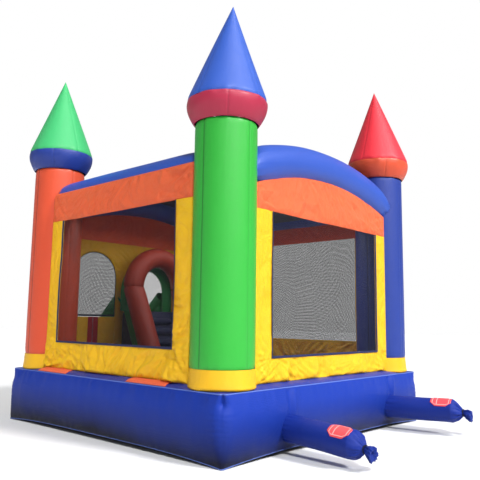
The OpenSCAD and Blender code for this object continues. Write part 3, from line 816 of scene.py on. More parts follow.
def spare_cloth(piece, spare, most, steps=20, weight=0.12):
    """Gives a sheet that is sewn along its edges some spare cloth, and lets it fold under its own weight.
    A point moves no further than most, and less near the stitching. Nothing is left to simulate after it."""
    edge = bmesh.new()
    edge.from_mesh(piece.data)
    edge.verts.ensure_lookup_table()
    sewn = [point.index for point in edge.verts if point.is_boundary]
    ring = {point.index for point in edge.verts if point.is_boundary}
    layer_of = {index: 0 for index in ring}
    for layer in (1, 2, 3):
        ring = {other.other_vert(edge.verts[i]).index for i in ring for other in edge.verts[i].link_edges}
        ring -= set(layer_of)
        layer_of.update({index: layer for index in ring})
    edge.free()
    group = piece.vertex_groups.new(name="sewn")
    group.add(sewn, 1.0, "REPLACE")
    before = [point.co.copy() for point in piece.data.vertices]
    for layer in piece.modifiers:
        layer.show_viewport = False
    cloth = piece.modifiers.new("cloth", "CLOTH")
    piece.modifiers.move(len(piece.modifiers) - 1, 0)
    cloth.settings.vertex_group_mass = "sewn"
    cloth.settings.shrink_min = -spare
    cloth.settings.quality = 5
    cloth.settings.mass = 0.25
    cloth.settings.tension_stiffness = cloth.settings.compression_stiffness = 18
    cloth.settings.bending_stiffness = 0.25
    cloth.settings.air_damping = 2.0
    cloth.settings.effector_weights.gravity = weight
    cloth.collision_settings.use_collision = False
    cloth.point_cache.frame_end = steps
    for step in range(1, steps + 1):
        bpy.context.scene.frame_set(step)
    settled = piece.evaluated_get(bpy.context.evaluated_depsgraph_get())
    after = [point.co.copy() for point in settled.data.vertices]
    piece.modifiers.remove(cloth)
    for layer in piece.modifiers:
        layer.show_viewport = True
    bpy.context.scene.frame_set(1)
    for point, start, end in zip(piece.data.vertices, before, after):
        move = (end - start) * layer_of.get(point.index, 4) / 4
        if move.length > most:
            move *= most / move.length
        point.co = start + move
    piece.vertex_groups.clear()
    piece.data.update()


wall_cloth = coated_cloth(
    "wall_cloth", paint(253, 196, 28), 1.4, 6.0, weave=0.9, ground_shade=0.0, gloss=0.42, coat=0.05, through=0.25,
    shine=0.25,
)


def from_window(along, up, sill):
    """How far a place beside or below a window lies from it."""
    return max(abs(along) - window_half, sill - up)


def from_door(x, up):
    """How far a place on the front wall lies outside the entrance."""
    return hypot(x - door_x, max(0, up - door_arch_up)) - door_half


def wall_surface(side, along, up, sill, depth, lift=1.0):
    foot = wall_foot + (shelf_rise(along, side == 3, seam_half - wall_out) - 0.010)
    low = up
    up = foot + (up - wall_foot) * (sill - foot) / (sill - wall_foot) if up < sill else up
    edge = min(wall_half - abs(along), low - wall_foot)
    free = 1 - fades(edge, 0.025)
    opening = from_door(along, up) if side == 3 else from_window(along, up, sill)
    free *= 1 - fades(opening, (0.05 if side == 3 else 0.035))
    corners = [(-wall_half, foot), (wall_half, foot), (-window_half, sill), (window_half, sill)]
    out = wall_out + billow(side, along, up)
    depth *= 1 + 1.0 * fades(up - foot, 0.30)
    folds = pulled_folds(side, along, up, corners, depth)
    out += (folds + crumple(side, along, up, 0.9 * depth, 0.75 if along > 0 else -0.75)) * free
    slant = 2.4 * drift(along * 1.6, side, 8.0) * (up - foot)
    buckle = 1 - 3.0 * abs(drift((along + slant) / 0.30, side, 3.3))
    out += 1.7 * depth * fades(low - wall_foot, 0.35) * buckle * free * lift
    hem = fades(low - wall_foot, 0.075) * free
    out += hem * lift * (0.012 + 0.034 * drift(along / 0.21, side, 1.0))
    up += hem * 0.008 * drift(along / 0.16, side, 6.0)
    return at_side(side, out, along, up)


windows = [
    (0, "left", side_sill, side_head), (1, "rear", rear_sill, rear_head), (2, "right", side_sill, side_head),
]
fold_depths = [0.0175, 0.010, 0.016]
for (side, name, sill, head), depth in zip(windows, fold_depths):
    panel = cloth_grid(
        divisions([-wall_half - sewn_in, -window_half, window_half, wall_half + sewn_in], 0.015),
        divisions([wall_foot, sill, head + 0.002], 0.015),
        lambda along, up: wall_surface(side, along, up, sill, depth),
        lambda along, up: abs(along) < window_half and up > sill,
    )
    node_name = f"{name}_wall_panel"
    piece = finished(f"{node_name}_cloth", panel, wall_cloth, "wall_cloth", [node_name], thick=cloth_thick)
    spare_cloth(piece, 0.006, 0.009)

door_x = (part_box("entrance_mesh")[0].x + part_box("entrance_mesh")[1].x) / 2
door_half, door_arch_up, flap_top = 0.390, 1.980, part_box("entrance_mesh")[0].z
exit_x, exit_half, exit_floor, exit_arch_up = -0.130, 0.400, 1.480, 1.790


def exit_hole(x, up):
    inside = up < exit_arch_up or hypot(x - exit_x, up - exit_arch_up) < exit_half
    return abs(x - exit_x) < exit_half and up > exit_floor and inside


def onto_arch(x, up, middle, half, arch_up, reach=0.016):
    """Draws a point near an arched opening's edge onto the arch itself."""
    far = hypot(x - middle, up - arch_up)
    if up > arch_up and abs(far - half) < reach:
        return middle + (x - middle) * half / far, arch_up + (up - arch_up) * half / far
    return x, up


def front_surface(along, up):
    x, z = onto_arch(along, up, door_x, door_half, door_arch_up)
    x, z = onto_arch(x, z, exit_x, exit_half, exit_arch_up)
    return wall_surface(3, x, z, exit_floor, 0.008, 0.0)


front_stops = [-wall_half - sewn_in, exit_x - exit_half, exit_x + exit_half]
front_stops += [door_x - door_half, door_x + door_half, wall_half + sewn_in]
panel = cloth_grid(
    divisions(front_stops, 0.018),
    divisions([wall_foot, flap_top, exit_floor, exit_arch_up, door_arch_up, rear_head + 0.002], 0.018),
    front_surface,
    lambda x, up: from_door(x, up) < 0 or exit_hole(x, up),
)
front_panel = finished(
    "front_wall_panel_cloth", panel, wall_cloth, "wall_cloth", ["front_wall_panel"], thick=cloth_thick
)
spare_cloth(front_panel, 0.005, 0.006)

# --- Valances ---
# Salmon-orange cloth fills the wall between its window and its beam, sewn to the net, the columns and the
# beam. Over the front and rear walls it is cut to the beam's arch.
valance_cloth = coated_cloth(
    "valance_cloth", paint(250, 110, 66), 1.3, 6.0, weave=0.9, ground_shade=0.0, gloss=0.44, coat=0.04, through=0.4,
    shine=0.2,
)
side_valance_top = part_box("left_valance")[1].z
arch_gap = sqrt(arch_beam_radius**2 - (wall_out - arch_beam_out) ** 2)
for side, name, foot, arched in [
    (0, "left", side_head, False), (1, "rear", rear_head, True),
    (2, "right", side_head, False), (3, "front", rear_head, True),
]:

    def valance_top(along):
        if not arched:
            return side_valance_top
        return arch_centre_up + sqrt((arch_radius - arch_gap + 0.010) ** 2 - along * along)

    def valance_surface(along, share):
        top = valance_top(along)
        up = foot + (top - foot) * share
        edge = min(wall_half - abs(along), up - foot, top - up)
        free = 1 - fades(edge, 0.03)
        out = wall_out + billow(side, along, up) * (1 - share**3)
        corners = [(-wall_half, top), (wall_half, top), (-wall_half, foot), (wall_half, foot)]
        deep = 0.010 if arched else 0.015
        folds = pulled_folds(side + 10, along, up, corners, deep)
        out += (folds + crumple(side + 10, along, up, 1.3 * deep, -0.5 if arched else 0.6)) * free
        if not arched:
            out -= 0.016 * share**12
        return at_side(side, out, along, up)

    sheet = cloth_grid(
        divisions([-wall_half - sewn_in, wall_half + sewn_in], 0.016),
        divisions([0, 1], 0.032 if arched else 0.040),
        valance_surface,
    )
    node_name = f"{name}_valance"
    piece = finished(
        f"{node_name}_cloth", sheet, valance_cloth, "valance_cloth", [node_name], thick=cloth_thick
    )
    spare_cloth(piece, 0.005, 0.008)
    rise = valance_top(0) - foot
    area = 2 * wall_half * rise
    if arched:
        slice_width = wall_half / 50
        area -= 2 * sum((valance_top(0) - valance_top(slice_width * i)) * slice_width for i in range(50))

# --- Window and entrance nets ---
# Black knotless netting, about as much thread as hole, is sewn into each window and over the entrance. It is
# pulled fairly flat and lets light and air through.


def in_plane_distance(tree, value, pitch):
    """How near a place is to the middle of the nearest thread, 0 there and 1 half way to the next."""
    wave = maths(tree, "FRACT", maths(tree, "DIVIDE", value, pitch))
    return maths(tree, "MULTIPLY", maths(tree, "ABSOLUTE", maths(tree, "SUBTRACT", wave, 0.5)), 2.0)


net, net_tree, net_surface = new_finish("window_net")
place = net_tree.nodes.new("ShaderNodeTexCoord").outputs["Object"]
apart = net_tree.nodes.new("ShaderNodeSeparateXYZ")
net_tree.links.new(place, apart.inputs[0])
sideways = maths(net_tree, "ADD", apart.outputs[0], apart.outputs[1])
net_pitch = 0.0143
slant_a = in_plane_distance(net_tree, maths(net_tree, "ADD", sideways, apart.outputs[2]), net_pitch)
slant_b = in_plane_distance(net_tree, maths(net_tree, "SUBTRACT", sideways, apart.outputs[2]), net_pitch)
thread = maths(net_tree, "MINIMUM", slant_a, slant_b)
uneven = noise_of(net_tree, place, 2.2, 3.0)
thread_half = maths(net_tree, "ADD", maths(net_tree, "MULTIPLY", uneven, 0.08), 0.28)
covered = maths(net_tree, "MULTIPLY", maths(net_tree, "LESS_THAN", thread, thread_half), 0.62)
net_tree.links.new(maths(net_tree, "ADD", covered, 0.22), net_surface.inputs["Alpha"])
net_colour = blended(net_tree, noise_of(net_tree, place, 30.0), paint(10, 11, 13), paint(26, 28, 31))
net_tree.links.new(net_colour, net_surface.inputs["Base Color"])
thread_height = maths(net_tree, "SUBTRACT", 1.0, thread)
net_tree.links.new(bumped(net_tree, thread_height, 0.002), net_surface.inputs["Normal"])
net_surface.inputs["Roughness"].default_value = 0.85
net_surface.inputs["Specular IOR Level"].default_value = 0.2


def net_surface_at(side, along, up, foot, head):
    edge = min(window_half - abs(along), up - foot, head - up)
    ripple = 0.004 * drift(along * 4, up * 2.5, 3.0 * side) * (1 - fades(edge, 0.06))
    return at_side(side, wall_out + billow(side, along, up) + ripple, along, up)


for side, name, sill, head in windows:
    sheet = cloth_grid(
        divisions([-window_half, window_half], 0.04), divisions([sill, head], 0.04),
        lambda along, up: net_surface_at(side, along, up, sill, head),
    )
    piece = finished(f"{name}_window_net", sheet, net, "window_net", [f"{name}_window_mesh"])


def entrance_net_at(u, v):
    up = flap_top + (door_arch_up + door_half - flap_top) * sin(v * pi / 2)
    half = door_half if up < door_arch_up else sqrt(max(0, door_half**2 - (up - door_arch_up) ** 2))
    x = door_x + half * (2 * u - 1)
    return at_side(3, wall_out + billow(3, x, up), x, up)


entrance_net = grid_of(24, 40, entrance_net_at)
bmesh.ops.remove_doubles(entrance_net, verts=entrance_net.verts, dist=0.0003)
entrance_net = finished("entrance_net", entrance_net, net, "window_net", ["entrance_mesh"])

# --- Window bindings ---
# Navy webbing, folded over the raw edge and stitched, runs round the sill and sides of each window.
binding_web = coated_cloth(
    "binding_web", paint(44, 52, 96), 0.2, 8.0, weave=2.5, ground_shade=0.0, gloss=0.6, coat=0.0
)
binding_width = 0.024
for side, name, sill, head in windows:
    inner = [(-window_half, head), (-window_half, sill), (window_half, sill), (window_half, head)]
    outer = [
        (-window_half - binding_width, head), (-window_half - binding_width, sill - binding_width),
        (window_half + binding_width, sill - binding_width), (window_half + binding_width, head),
    ]

    def binding_surface(u, v):
        run = min(2, int(u * 3))
        t = u * 3 - run
        (a0, z0), (a1, z1) = inner[run], inner[run + 1]
        (b0, y0), (b1, y1) = outer[run], outer[run + 1]
        along = (a0 + (a1 - a0) * t) * (1 - v) + (b0 + (b1 - b0) * t) * v
        up = (z0 + (z1 - z0) * t) * (1 - v) + (y0 + (y1 - y0) * t) * v
        lift = 0.004 + 0.004 * sin(v * pi) + 0.009 * v + 0.0015 * drift(along * 18, up * 18, side)
        return at_side(side, wall_out + billow(side, along, up) + lift, along, up)

    piece = finished(
        f"{name}_window_binding", grid_of(240, 4, binding_surface), binding_web, "binding_web",
        ["window_bindings"], thick=0.002,
    )


def door_edge(u):
    """A point of the entrance net's edge, up one side, over the arch and down the other, and the way out
    from it."""
    leg, over = door_arch_up - flap_top, pi * door_half
    run = u * (2 * leg + over)
    if run < leg:
        return (door_x - door_half, flap_top + run), (-1, 0)
    if run > leg + over:
        return (door_x + door_half, flap_top + 2 * leg + over - run), (1, 0)
    turn = pi - (run - leg) / door_half
    return (door_x + door_half * cos(turn), door_arch_up + door_half * sin(turn)), (cos(turn), sin(turn))


def door_binding(u, v):
    (x, up), (way_x, way_up) = door_edge(u)
    x, up = x + way_x * binding_width * (v - 0.35), up + way_up * binding_width * (v - 0.35)
    return at_side(3, wall_out + billow(3, x, up) + 0.003 + 0.003 * sin(v * pi), x, up)


def sill_binding(u, v):
    x = door_x + door_half * (2 * u - 1)
    return Vector((x, -wall_out - 0.002 - 0.002 * sin(v * pi), flap_top + 0.003 + binding_width * v))


round_length = 2 * (door_arch_up - flap_top) + pi * door_half
for name, cells, surface, length in [
    ("entrance_binding", 150, door_binding, round_length),
    ("entrance_sill_binding", 40, sill_binding, 2 * door_half),
]:
    strip = finished(name, grid_of(cells, 4, surface), binding_web, "binding_web", [], thick=0.009)

# --- Entrance flaps and zip ---
# Two yellow cloth flaps close the lower half of the doorway. Each hangs on a sewn roll at its outer edge and
# carries a red zip tape at its inner edge. The metal slider is the CAD's own solid.
flap_foot, flap_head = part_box("entrance_flap_left")[0].z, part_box("entrance_flap_left")[1].z
tape_red = coated_cloth(
    "zip_tape_web", paint(214, 36, 50), 0.15, 8.0, weave=2.5, ground_shade=0.0, gloss=0.6, coat=0.0
)
tooth_grey, tooth_tree, tooth_surface = new_finish("zip_teeth")
tooth_at = tooth_tree.nodes.new("ShaderNodeTexCoord").outputs["Object"]
tooth_wear = noise_of(tooth_tree, tooth_at, 60.0)
tooth_tint = blended(tooth_tree, tooth_wear, paint(120, 122, 128), paint(176, 178, 184))
tooth_tree.links.new(tooth_tint, tooth_surface.inputs["Base Color"])
tooth_surface.inputs["Roughness"].default_value = 0.4
for hand_side, body in [("right", "right_flap"), ("left", "left_flap")]:
    node_name, tape_name = f"entrance_flap_{hand_side}", f"zip_tape_{hand_side}"
    (flap_low, flap_high), (tape_low, tape_high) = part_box(node_name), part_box(tape_name)
    outer = flap_low.x + 0.005 if hand_side == "right" else flap_high.x - 0.005
    inner = tape_low.x if hand_side == "right" else tape_high.x

    def flap_surface(u, v):
        x = outer + (inner - outer) * u
        up = flap_foot + (flap_head - flap_foot) * v
        free = (1 - exp(-u / 0.06)) * (1 - exp(-(1 - u) / 0.08))
        swag = 0.007 * drift(x * 7 + 3 * up, up * 3.5, outer)
        swag += 0.003 * drift(x * 16, up * 5, outer + 3)
        return Vector((x, -wall_out + swag * free, up))

    flap = finished(
        f"{node_name}_cloth", grid_of(34, 72, flap_surface), wall_cloth, "wall_cloth", [node_name], body,
        thick=cloth_thick,
    )

    roll = bmesh.new()
    bmesh.ops.create_cone(
        roll, cap_ends=True, segments=20, radius1=0.0048, radius2=0.0048, depth=flap_head - flap_foot,
        matrix=Matrix.Translation((outer, -wall_out, (flap_foot + flap_head) / 2)),
    )
    finished(f"{node_name}_roll", roll, wall_cloth, "wall_cloth", [], body)

    def tape_surface(u, v):
        start, end = (tape_low.x, tape_high.x) if hand_side == "right" else (tape_high.x, tape_low.x)
        up = flap_foot + (flap_head - flap_foot) * v
        wave = 0.0012 * drift(u * 3, up * 12, outer)
        return Vector((start + (end - start) * u, -wall_out - 0.0035 + wave, up))

    tape = finished(
        f"{tape_name}_web", grid_of(8, 64, tape_surface), tape_red, "zip_web", [tape_name], body, thick=0.002
    )

    teeth = bmesh.new()
    tooth_x = tape_high.x - 0.004 if hand_side == "right" else tape_low.x + 0.004
    tooth_count, half_step = 100, 0.5 if hand_side == "left" else 0
    tooth_size = Matrix.Diagonal((0.008, 0.005, 0.003, 1))
    for i in range(tooth_count):
        tooth_up = flap_foot + 0.006 + (flap_head - flap_foot - 0.012) * (i + half_step) / tooth_count
        tooth_place = Matrix.Translation((tooth_x, -wall_out - 0.004, tooth_up))
        bmesh.ops.create_cube(teeth, size=1, matrix=tooth_place @ tooth_size)
    finished(f"{tape_name}_teeth", teeth, tooth_grey, "zip_web", [], body)

slider_metal, slider_tree, slider_surface = new_finish("zip_slider_metal")
slider_place = slider_tree.nodes.new("ShaderNodeTexCoord").outputs["Object"]
scratches = noise_of(slider_tree, slider_place, 180.0, 4.0)
slider_tint = blended(slider_tree, scratches, paint(140, 143, 150), paint(205, 208, 214))
slider_tree.links.new(slider_tint, slider_surface.inputs["Base Color"])
slider_rough = maths(slider_tree, "ADD", maths(slider_tree, "MULTIPLY", scratches, 0.25), 0.2)
slider_tree.links.new(slider_rough, slider_surface.inputs["Roughness"])
slider_surface.inputs["Metallic"].default_value = 0.9
finish_node("zip_slider", slider_metal)

# --- Climb ---
# Inside the front wall an air-filled navy block carries a platform. Its sloping face has four stuffed treads,
# green panels cover its flanks, and two fat orange-red rails lean on it under an arch of the same tube.
climb_low, climb_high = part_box("climb_block")
platform, chamber_floor = climb_high.z, climb_low.z
lean = radians(25.7)
face_top_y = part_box("climb_side_panels")[0].y + 0.260
face_foot_y = climb_high.y
navy_cloth = coated_cloth("navy_cloth", paint(30, 38, 72), 0.3, 3.0, ground_shade=0.0, gloss=0.36)
frame_green = coated_cloth("frame_green_cloth", paint(44, 158, 78), 0.3, 3.0, ground_shade=0.0, gloss=0.34)
# The rails and arch take a darker orange-red than the turrets' orange, as painted shade for the dim inside of
# the house
shaded_rail_cloth = coated_cloth("shaded_rail_cloth", paint(168, 54, 34), 0.3, 3.0, ground_shade=0.0, gloss=0.34)


def puffed_solid(outline, low_x, high_x, cuts, radius):
    """A solid with this outline of (y, z) points, its edges rounded and its faces cut fine enough to dome."""
    made = bmesh.new()
    corners = [made.verts.new((low_x, y, z)) for y, z in outline]
    side_face = made.faces.new(corners)
    pushed = bmesh.ops.extrude_face_region(made, geom=[side_face])
    moved = [item for item in pushed["geom"] if isinstance(item, bmesh.types.BMVert)]
    bmesh.ops.translate(made, verts=moved, vec=(high_x - low_x, 0, 0))
    bmesh.ops.recalc_face_normals(made, faces=made.faces)
    bmesh.ops.bevel(
        made, geom=made.edges[:], offset=radius, offset_type="OFFSET", segments=3, profile=0.5,
        affect="EDGES", material=-1, clamp_overlap=True,
    )
    bmesh.ops.triangulate(made, faces=[face for face in made.faces if len(face.verts) > 4])
    for _ in range(cuts):
        long_edges = [edge for edge in made.edges if edge.calc_length() > 0.05]
        bmesh.ops.subdivide_edges(made, edges=long_edges, cuts=1, use_grid_fill=True)
    bmesh.ops.triangulate(made, faces=[face for face in made.faces if len(face.verts) > 4])
    return made


def dome_faces(made, swell, low, high, stay_below):
    """Pushes a solid's skin outwards, most in the middle of each face, as air does."""
    made.normal_update()
    moves = {}
    for point in made.verts:
        share = 1.0
        for axis in range(3):
            if abs(point.normal[axis]) < 0.6:
                t = (point.co[axis] - low[axis]) / max(0.001, high[axis] - low[axis])
                share *= max(0.0, min(1.0, 4 * t * (1 - t))) ** 0.5
        wave = 0.25 * noise.noise(point.co * 6)
        moves[point] = point.normal * swell * share * (1 + wave) if point.co.z > stay_below else Vector()
    for point, move in moves.items():
        point.co += move


block = puffed_solid(
    [
        (climb_low.y + 0.02, chamber_floor + 0.01), (face_foot_y - 0.02, chamber_floor + 0.01),
        (face_top_y - 0.02, platform - 0.02), (climb_low.y + 0.02, platform - 0.02),
    ],
    climb_low.x + 0.02, climb_high.x - 0.02, 5, 0.030,
)
dome_faces(block, 0.020, climb_low, climb_high, chamber_floor + 0.05)
air_filled("climb_block_cloth", block, navy_cloth, "navy_vinyl", "climb_block")

for side in (-1, 1):

    def flank(u, v):
        up = chamber_floor + (platform - chamber_floor) * v
        edge_y = face_foot_y + (face_top_y - face_foot_y) * v
        y = edge_y - 0.260 * (1 - u) + 0.004 * drift(up * 9, u * 2, side)
        puff = 0.008 * sin(pi * u) + 0.003 * drift(up * 7, y * 9, side)
        x = exit_x + side * (0.450 + 0.006 + puff)
        return Vector((x, y, up + 0.002))

    hand_side = "left" if side > 0 else "right"
    panel = finished(
        f"climb_flank_{hand_side}", grid_of(16, 48, flank), frame_green, "frame_green_vinyl",
        ["climb_side_panels"], thick=0.004,
    )

tread_low, tread_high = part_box("climb_steps")
tread_half, tread_radius, tread_count = (tread_high.x - tread_low.x) / 2, 0.055, 4
tread_rise = (platform - chamber_floor) / (tread_count + 1)
for number in range(1, tread_count + 1):
    face_y = face_foot_y + (face_top_y - face_foot_y) * number / (tread_count + 1)
    face_up = chamber_floor + tread_rise * number

    def tread_skin(u, v):
        t = 2 * u - 1
        turn = 2 * pi * v
        thick = tread_radius * 1.03 * (1 - abs(t) ** 7) ** 0.5
        fold = seam_folds(turn * 0.16, (1 - abs(t)) * tread_half, 0.05, 0.006, 0.03, 1.0 * number)
        out, rise = (thick * 0.96 + fold) * cos(turn), (thick + fold) * sin(turn)
        push = max(out, -0.018)
        return Vector((
            exit_x + tread_half * t,
            face_y + push * cos(lean) - rise * sin(lean),
            face_up + push * sin(lean) + rise * cos(lean),
        ))

    tread = grid_of(40, 24, tread_skin)
    weld(tread, 0.0004)
    air_filled(f"climb_tread_{number}", tread, navy_cloth, "navy_vinyl", "climb_steps")

rail_radius, rail_half, rail_top_y, rail_top_up = 0.155, 0.480, -1.500, 1.850


def tube_piece(path, radius, along_cuts, around_cuts, seed, pinch=0.010, gather=0.016):
    """An air-filled tube with gathered ends along path(t), which gives a middle, the two directions across
    the tube there, and the path's length."""

    def put(u, v):
        middle, first, second, length = path(u)
        away = min(u, 1 - u) * length
        turn = 2 * pi * v
        drawn = radius - pinch * exp(-away / 0.016)
        drawn += seam_folds(turn * radius * 3, away, 0.10, gather, 0.06, seed + (1 if u > 0.5 else 0))
        drawn += 0.03 * radius * drift(u * 5, cos(turn) + seed, sin(turn))
        return middle + drawn * (first * cos(turn) + second * sin(turn))

    made = grid_of(along_cuts, around_cuts, put)
    weld(made, 0.0004)
    return made


for side, node_name in [(1, "climb_rail_left"), (-1, "climb_rail_right")]:

    def rail_path(t):
        down = Vector((0, sin(lean), -cos(lean)))
        first, second = Vector((1, 0, 0)), Vector((0, cos(lean), sin(lean)))
        length = (rail_top_up - chamber_floor) / cos(lean)
        top = Vector((exit_x + side * rail_half, rail_top_y, rail_top_up))
        return top + down * length * t, first, second, length

    made = tube_piece(rail_path, rail_radius, 90, 48, 3.0 + side)
    for up, way in [(chamber_floor + 0.004, -1), (rail_top_up - 0.002, 1)]:
        bmesh.ops.bisect_plane(
            made, geom=[*made.verts, *made.edges, *made.faces], plane_co=(0, 0, up), plane_no=(0, 0, way),
            clear_outer=True,
        )
    air_filled(f"{node_name}_cloth", made, shaded_rail_cloth, "rail_vinyl", node_name)


def climb_arch_path(t):
    turn = pi * t
    out = Vector((cos(turn), 0, sin(turn)))
    return Vector((exit_x, rail_top_y, rail_top_up)) + rail_half * out, out, Vector((0, 1, 0)), pi * rail_half


arch = tube_piece(climb_arch_path, rail_radius, 90, 48, 8.0)
air_filled("climb_arch_cloth", arch, shaded_rail_cloth, "rail_vinyl", "climb_arch")

# --- Exit frame ---
# A slimmer green tube stands on the platform against the front wall and arches over the way out to the slide.
exit_arc, exit_tube, exit_tube_y = 0.420, 0.084, (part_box("exit_frame")[0].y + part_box("exit_frame")[1].y) / 2
exit_leg = exit_arch_up - exit_floor
exit_length = 2 * exit_leg + pi * exit_arc


def exit_path(t):
    run = t * exit_length
    if run < exit_leg or run > exit_length - exit_leg:
        sign = 1 if run < exit_leg else -1
        middle = Vector((exit_x + sign * exit_arc, exit_tube_y, exit_floor + min(run, exit_length - run)))
        return middle, Vector((sign, 0, 0)), Vector((0, 1, 0)), exit_length
    turn = (run - exit_leg) / exit_arc
    out = Vector((cos(turn), 0, sin(turn)))
    return Vector((exit_x, exit_tube_y, exit_arch_up)) + exit_arc * out, out, Vector((0, 1, 0)), exit_length


green_arch = tube_piece(exit_path, exit_tube, 120, 32, 5.0, 0.006, 0.010)
air_filled("exit_frame_cloth", green_arch, frame_green, "frame_green_vinyl", "exit_frame")

# --- Slide ---
# Outside, a yellow air-filled bed runs down from the exit to a short flat landing. Three lengthwise channels
# are stitched into it, and on each side a green tube is sewn along the top of an upright green skirt.


def rounded(outline, radius, step=0.03):
    """The points of a closed (y, z) outline with rounded corners, and the way that each one faces out."""
    line = []
    for number, corner in enumerate(outline):
        before, after = Vector(outline[number - 1]), Vector(outline[(number + 1) % len(outline)])
        corner = Vector(corner)
        start = corner + (before - corner).normalized() * radius
        end = corner + (after - corner).normalized() * radius
        for i in range(5):
            t = i / 4
            line.append(start * (1 - t) ** 2 + corner * 2 * t * (1 - t) + end * t * t)
    dense = []
    for here, there in zip(line, line[1:] + line[:1]):
        count = max(1, round((there - here).length / step))
        dense += [here.lerp(there, i / count) for i in range(count)]
    turn = sum(a.x * b.y - b.x * a.y for a, b in zip(dense, dense[1:] + dense[:1]))
    result = []
    for number, here in enumerate(dense):
        way = (dense[(number + 1) % len(dense)] - dense[number - 1]).normalized()
        facing = Vector((way.y, -way.x)) * (1 if turn > 0 else -1)
        result.append((here, facing))
    return result


def puffed_slab(outline, low_x, high_x, radius, swell, cells):
    """An air-filled slab: a rounded outline of (y, z) points carried across from low_x to high_x.
    swell(y, z, v) is how far the skin stands out there."""
    line = rounded(outline, radius)
    count = len(line)

    def put(u, v):
        here, facing = line[round(u * count) % count]
        t = 0.5 - 0.5 * cos(pi * v)
        x = low_x + (high_x - low_x) * t
        edge = min(x - low_x, high_x - x)
        inset = radius - sqrt(max(0.0, radius * radius - max(0.0, radius - edge) ** 2))
        out = swell(here.x, here.y, t) - inset
        return Vector((x, here.x + facing.x * out, here.y + facing.y * out))

    made = grid_of(count, cells, put, True)
    rims = [edge for edge in made.edges if edge.is_boundary]
    bmesh.ops.holes_fill(made, edges=rims, sides=0)
    caps = [face for face in made.faces if len(face.verts) > 4]
    bmesh.ops.triangulate(made, faces=caps)
    bmesh.ops.recalc_face_normals(made, faces=made.faces)
    return made


slide_low, slide_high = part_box("slide_bed")
slide_back, slide_foot_y, slide_top = slide_high.y, slide_low.y, slide_high.z
base_back_y, landing_up, landing_length = -(seam_half + bulge + 0.004), 0.170, 0.480
run_end = slide_foot_y + landing_length
bed_outline = [
    (slide_back, chamber_floor + 0.004), (slide_back, slide_top - 0.012),
    (slide_back - 0.06, slide_top - 0.012), (run_end, landing_up), (slide_foot_y, landing_up),
    (slide_foot_y, 0.006), (base_back_y, 0.006), (base_back_y, chamber_floor + 0.004),
]


def bed_swell(y, z, v):
    channels = 0.018 * abs(sin(3 * pi * v)) ** 0.8 if z > 0.12 and y < slide_back - 0.02 else 0.0
    on_top = z > landing_up - 0.03 and (y < base_back_y or z > chamber_floor + 0.05)
    wave = 0.004 * drift(y * 4, z * 4, v * 3)
    cross = 0.004 * drift(y * 16 + z * 16, v * 2.0, 3.0)
    return (channels if on_top else 0.0) + wave + (cross if on_top else 0.0)


bed = puffed_slab(bed_outline, slide_low.x, slide_high.x, 0.030, bed_swell, 36)
air_filled("slide_bed_cloth", bed, yellow_cloth, "yellow_vinyl", "slide_bed")

slide_rail_radius, rail_rise = 0.110, 0.190
for side, node_name in [(1, "slide_rail_left"), (-1, "slide_rail_right")]:
    rail_x = (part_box(node_name)[0].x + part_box(node_name)[1].x) / 2
    slope = (slide_top - landing_up) / (slide_back - 0.06 - run_end)
    stops = [
        Vector((rail_x, slide_back - 0.002, slide_top + rail_rise + 0.06 * slope)),
        Vector((rail_x, run_end, landing_up + rail_rise)),
        Vector((rail_x, slide_foot_y + 0.030 - slide_rail_radius, landing_up + rail_rise)),
    ]

    def slide_rail_path(t):
        first_run, second_run = (stops[1] - stops[0]).length, (stops[2] - stops[1]).length
        total, bend = first_run + second_run, 0.14
        run = t * total
        if run < first_run - bend:
            middle, way = stops[0].lerp(stops[1], run / first_run), stops[1] - stops[0]
        elif run > first_run + bend:
            middle, way = stops[1].lerp(stops[2], (run - first_run) / second_run), stops[2] - stops[1]
        else:
            start = stops[0].lerp(stops[1], (first_run - bend) / first_run)
            end = stops[1].lerp(stops[2], bend / second_run)
            s = (run - first_run + bend) / (2 * bend)
            middle = start * (1 - s) ** 2 + stops[1] * 2 * s * (1 - s) + end * s * s
            way = (stops[1] - start) * (1 - s) + (end - stops[1]) * s
        way = way.normalized()
        return middle, Vector((1, 0, 0)), way.cross(Vector((1, 0, 0))), total

    made = tube_piece(slide_rail_path, slide_rail_radius, 120, 36, 4.0 + side, 0.0, 0.008)
    for point in made.verts:
        over = (slide_foot_y + 0.12) - point.co.y
        if over > 0:
            shrink = sqrt(max(0.0, 1 - (over / 0.205) ** 2))
            point.co.x = rail_x + (point.co.x - rail_x) * shrink
            point.co.z = stops[2].z + (point.co.z - stops[2].z) * shrink
    bmesh.ops.remove_doubles(made, verts=made.verts, dist=0.0006)
    air_filled(f"{node_name}_cloth", made, frame_green, "frame_green_vinyl", node_name)

    skirt_half = slide_rail_radius / 2
    skirt_outline = [
        (slide_back - 0.004, chamber_floor + 0.004), (slide_back - 0.004, slide_top + rail_rise - 0.02),
        (slide_back - 0.06, slide_top + rail_rise - 0.02), (run_end, landing_up + rail_rise - 0.02),
        (slide_foot_y + 0.03, landing_up + rail_rise - 0.02), (slide_foot_y + 0.03, 0.006),
        (base_back_y, 0.006), (base_back_y, chamber_floor + 0.004),
    ]
    skirt = puffed_slab(
        skirt_outline, rail_x - skirt_half, rail_x + skirt_half, 0.022,
        lambda y, z, v: 0.003 * drift(y * 5, z * 5, v), 12,
    )
    for point in skirt.verts:
        if abs(abs(point.co.x - rail_x) - skirt_half) < 0.012:
            point.co.x += 0.004 * drift(point.co.y * 5, point.co.z * 5, side)
    air_filled(f"{node_name}_skirt", skirt, frame_green, "frame_green_vinyl", node_name)

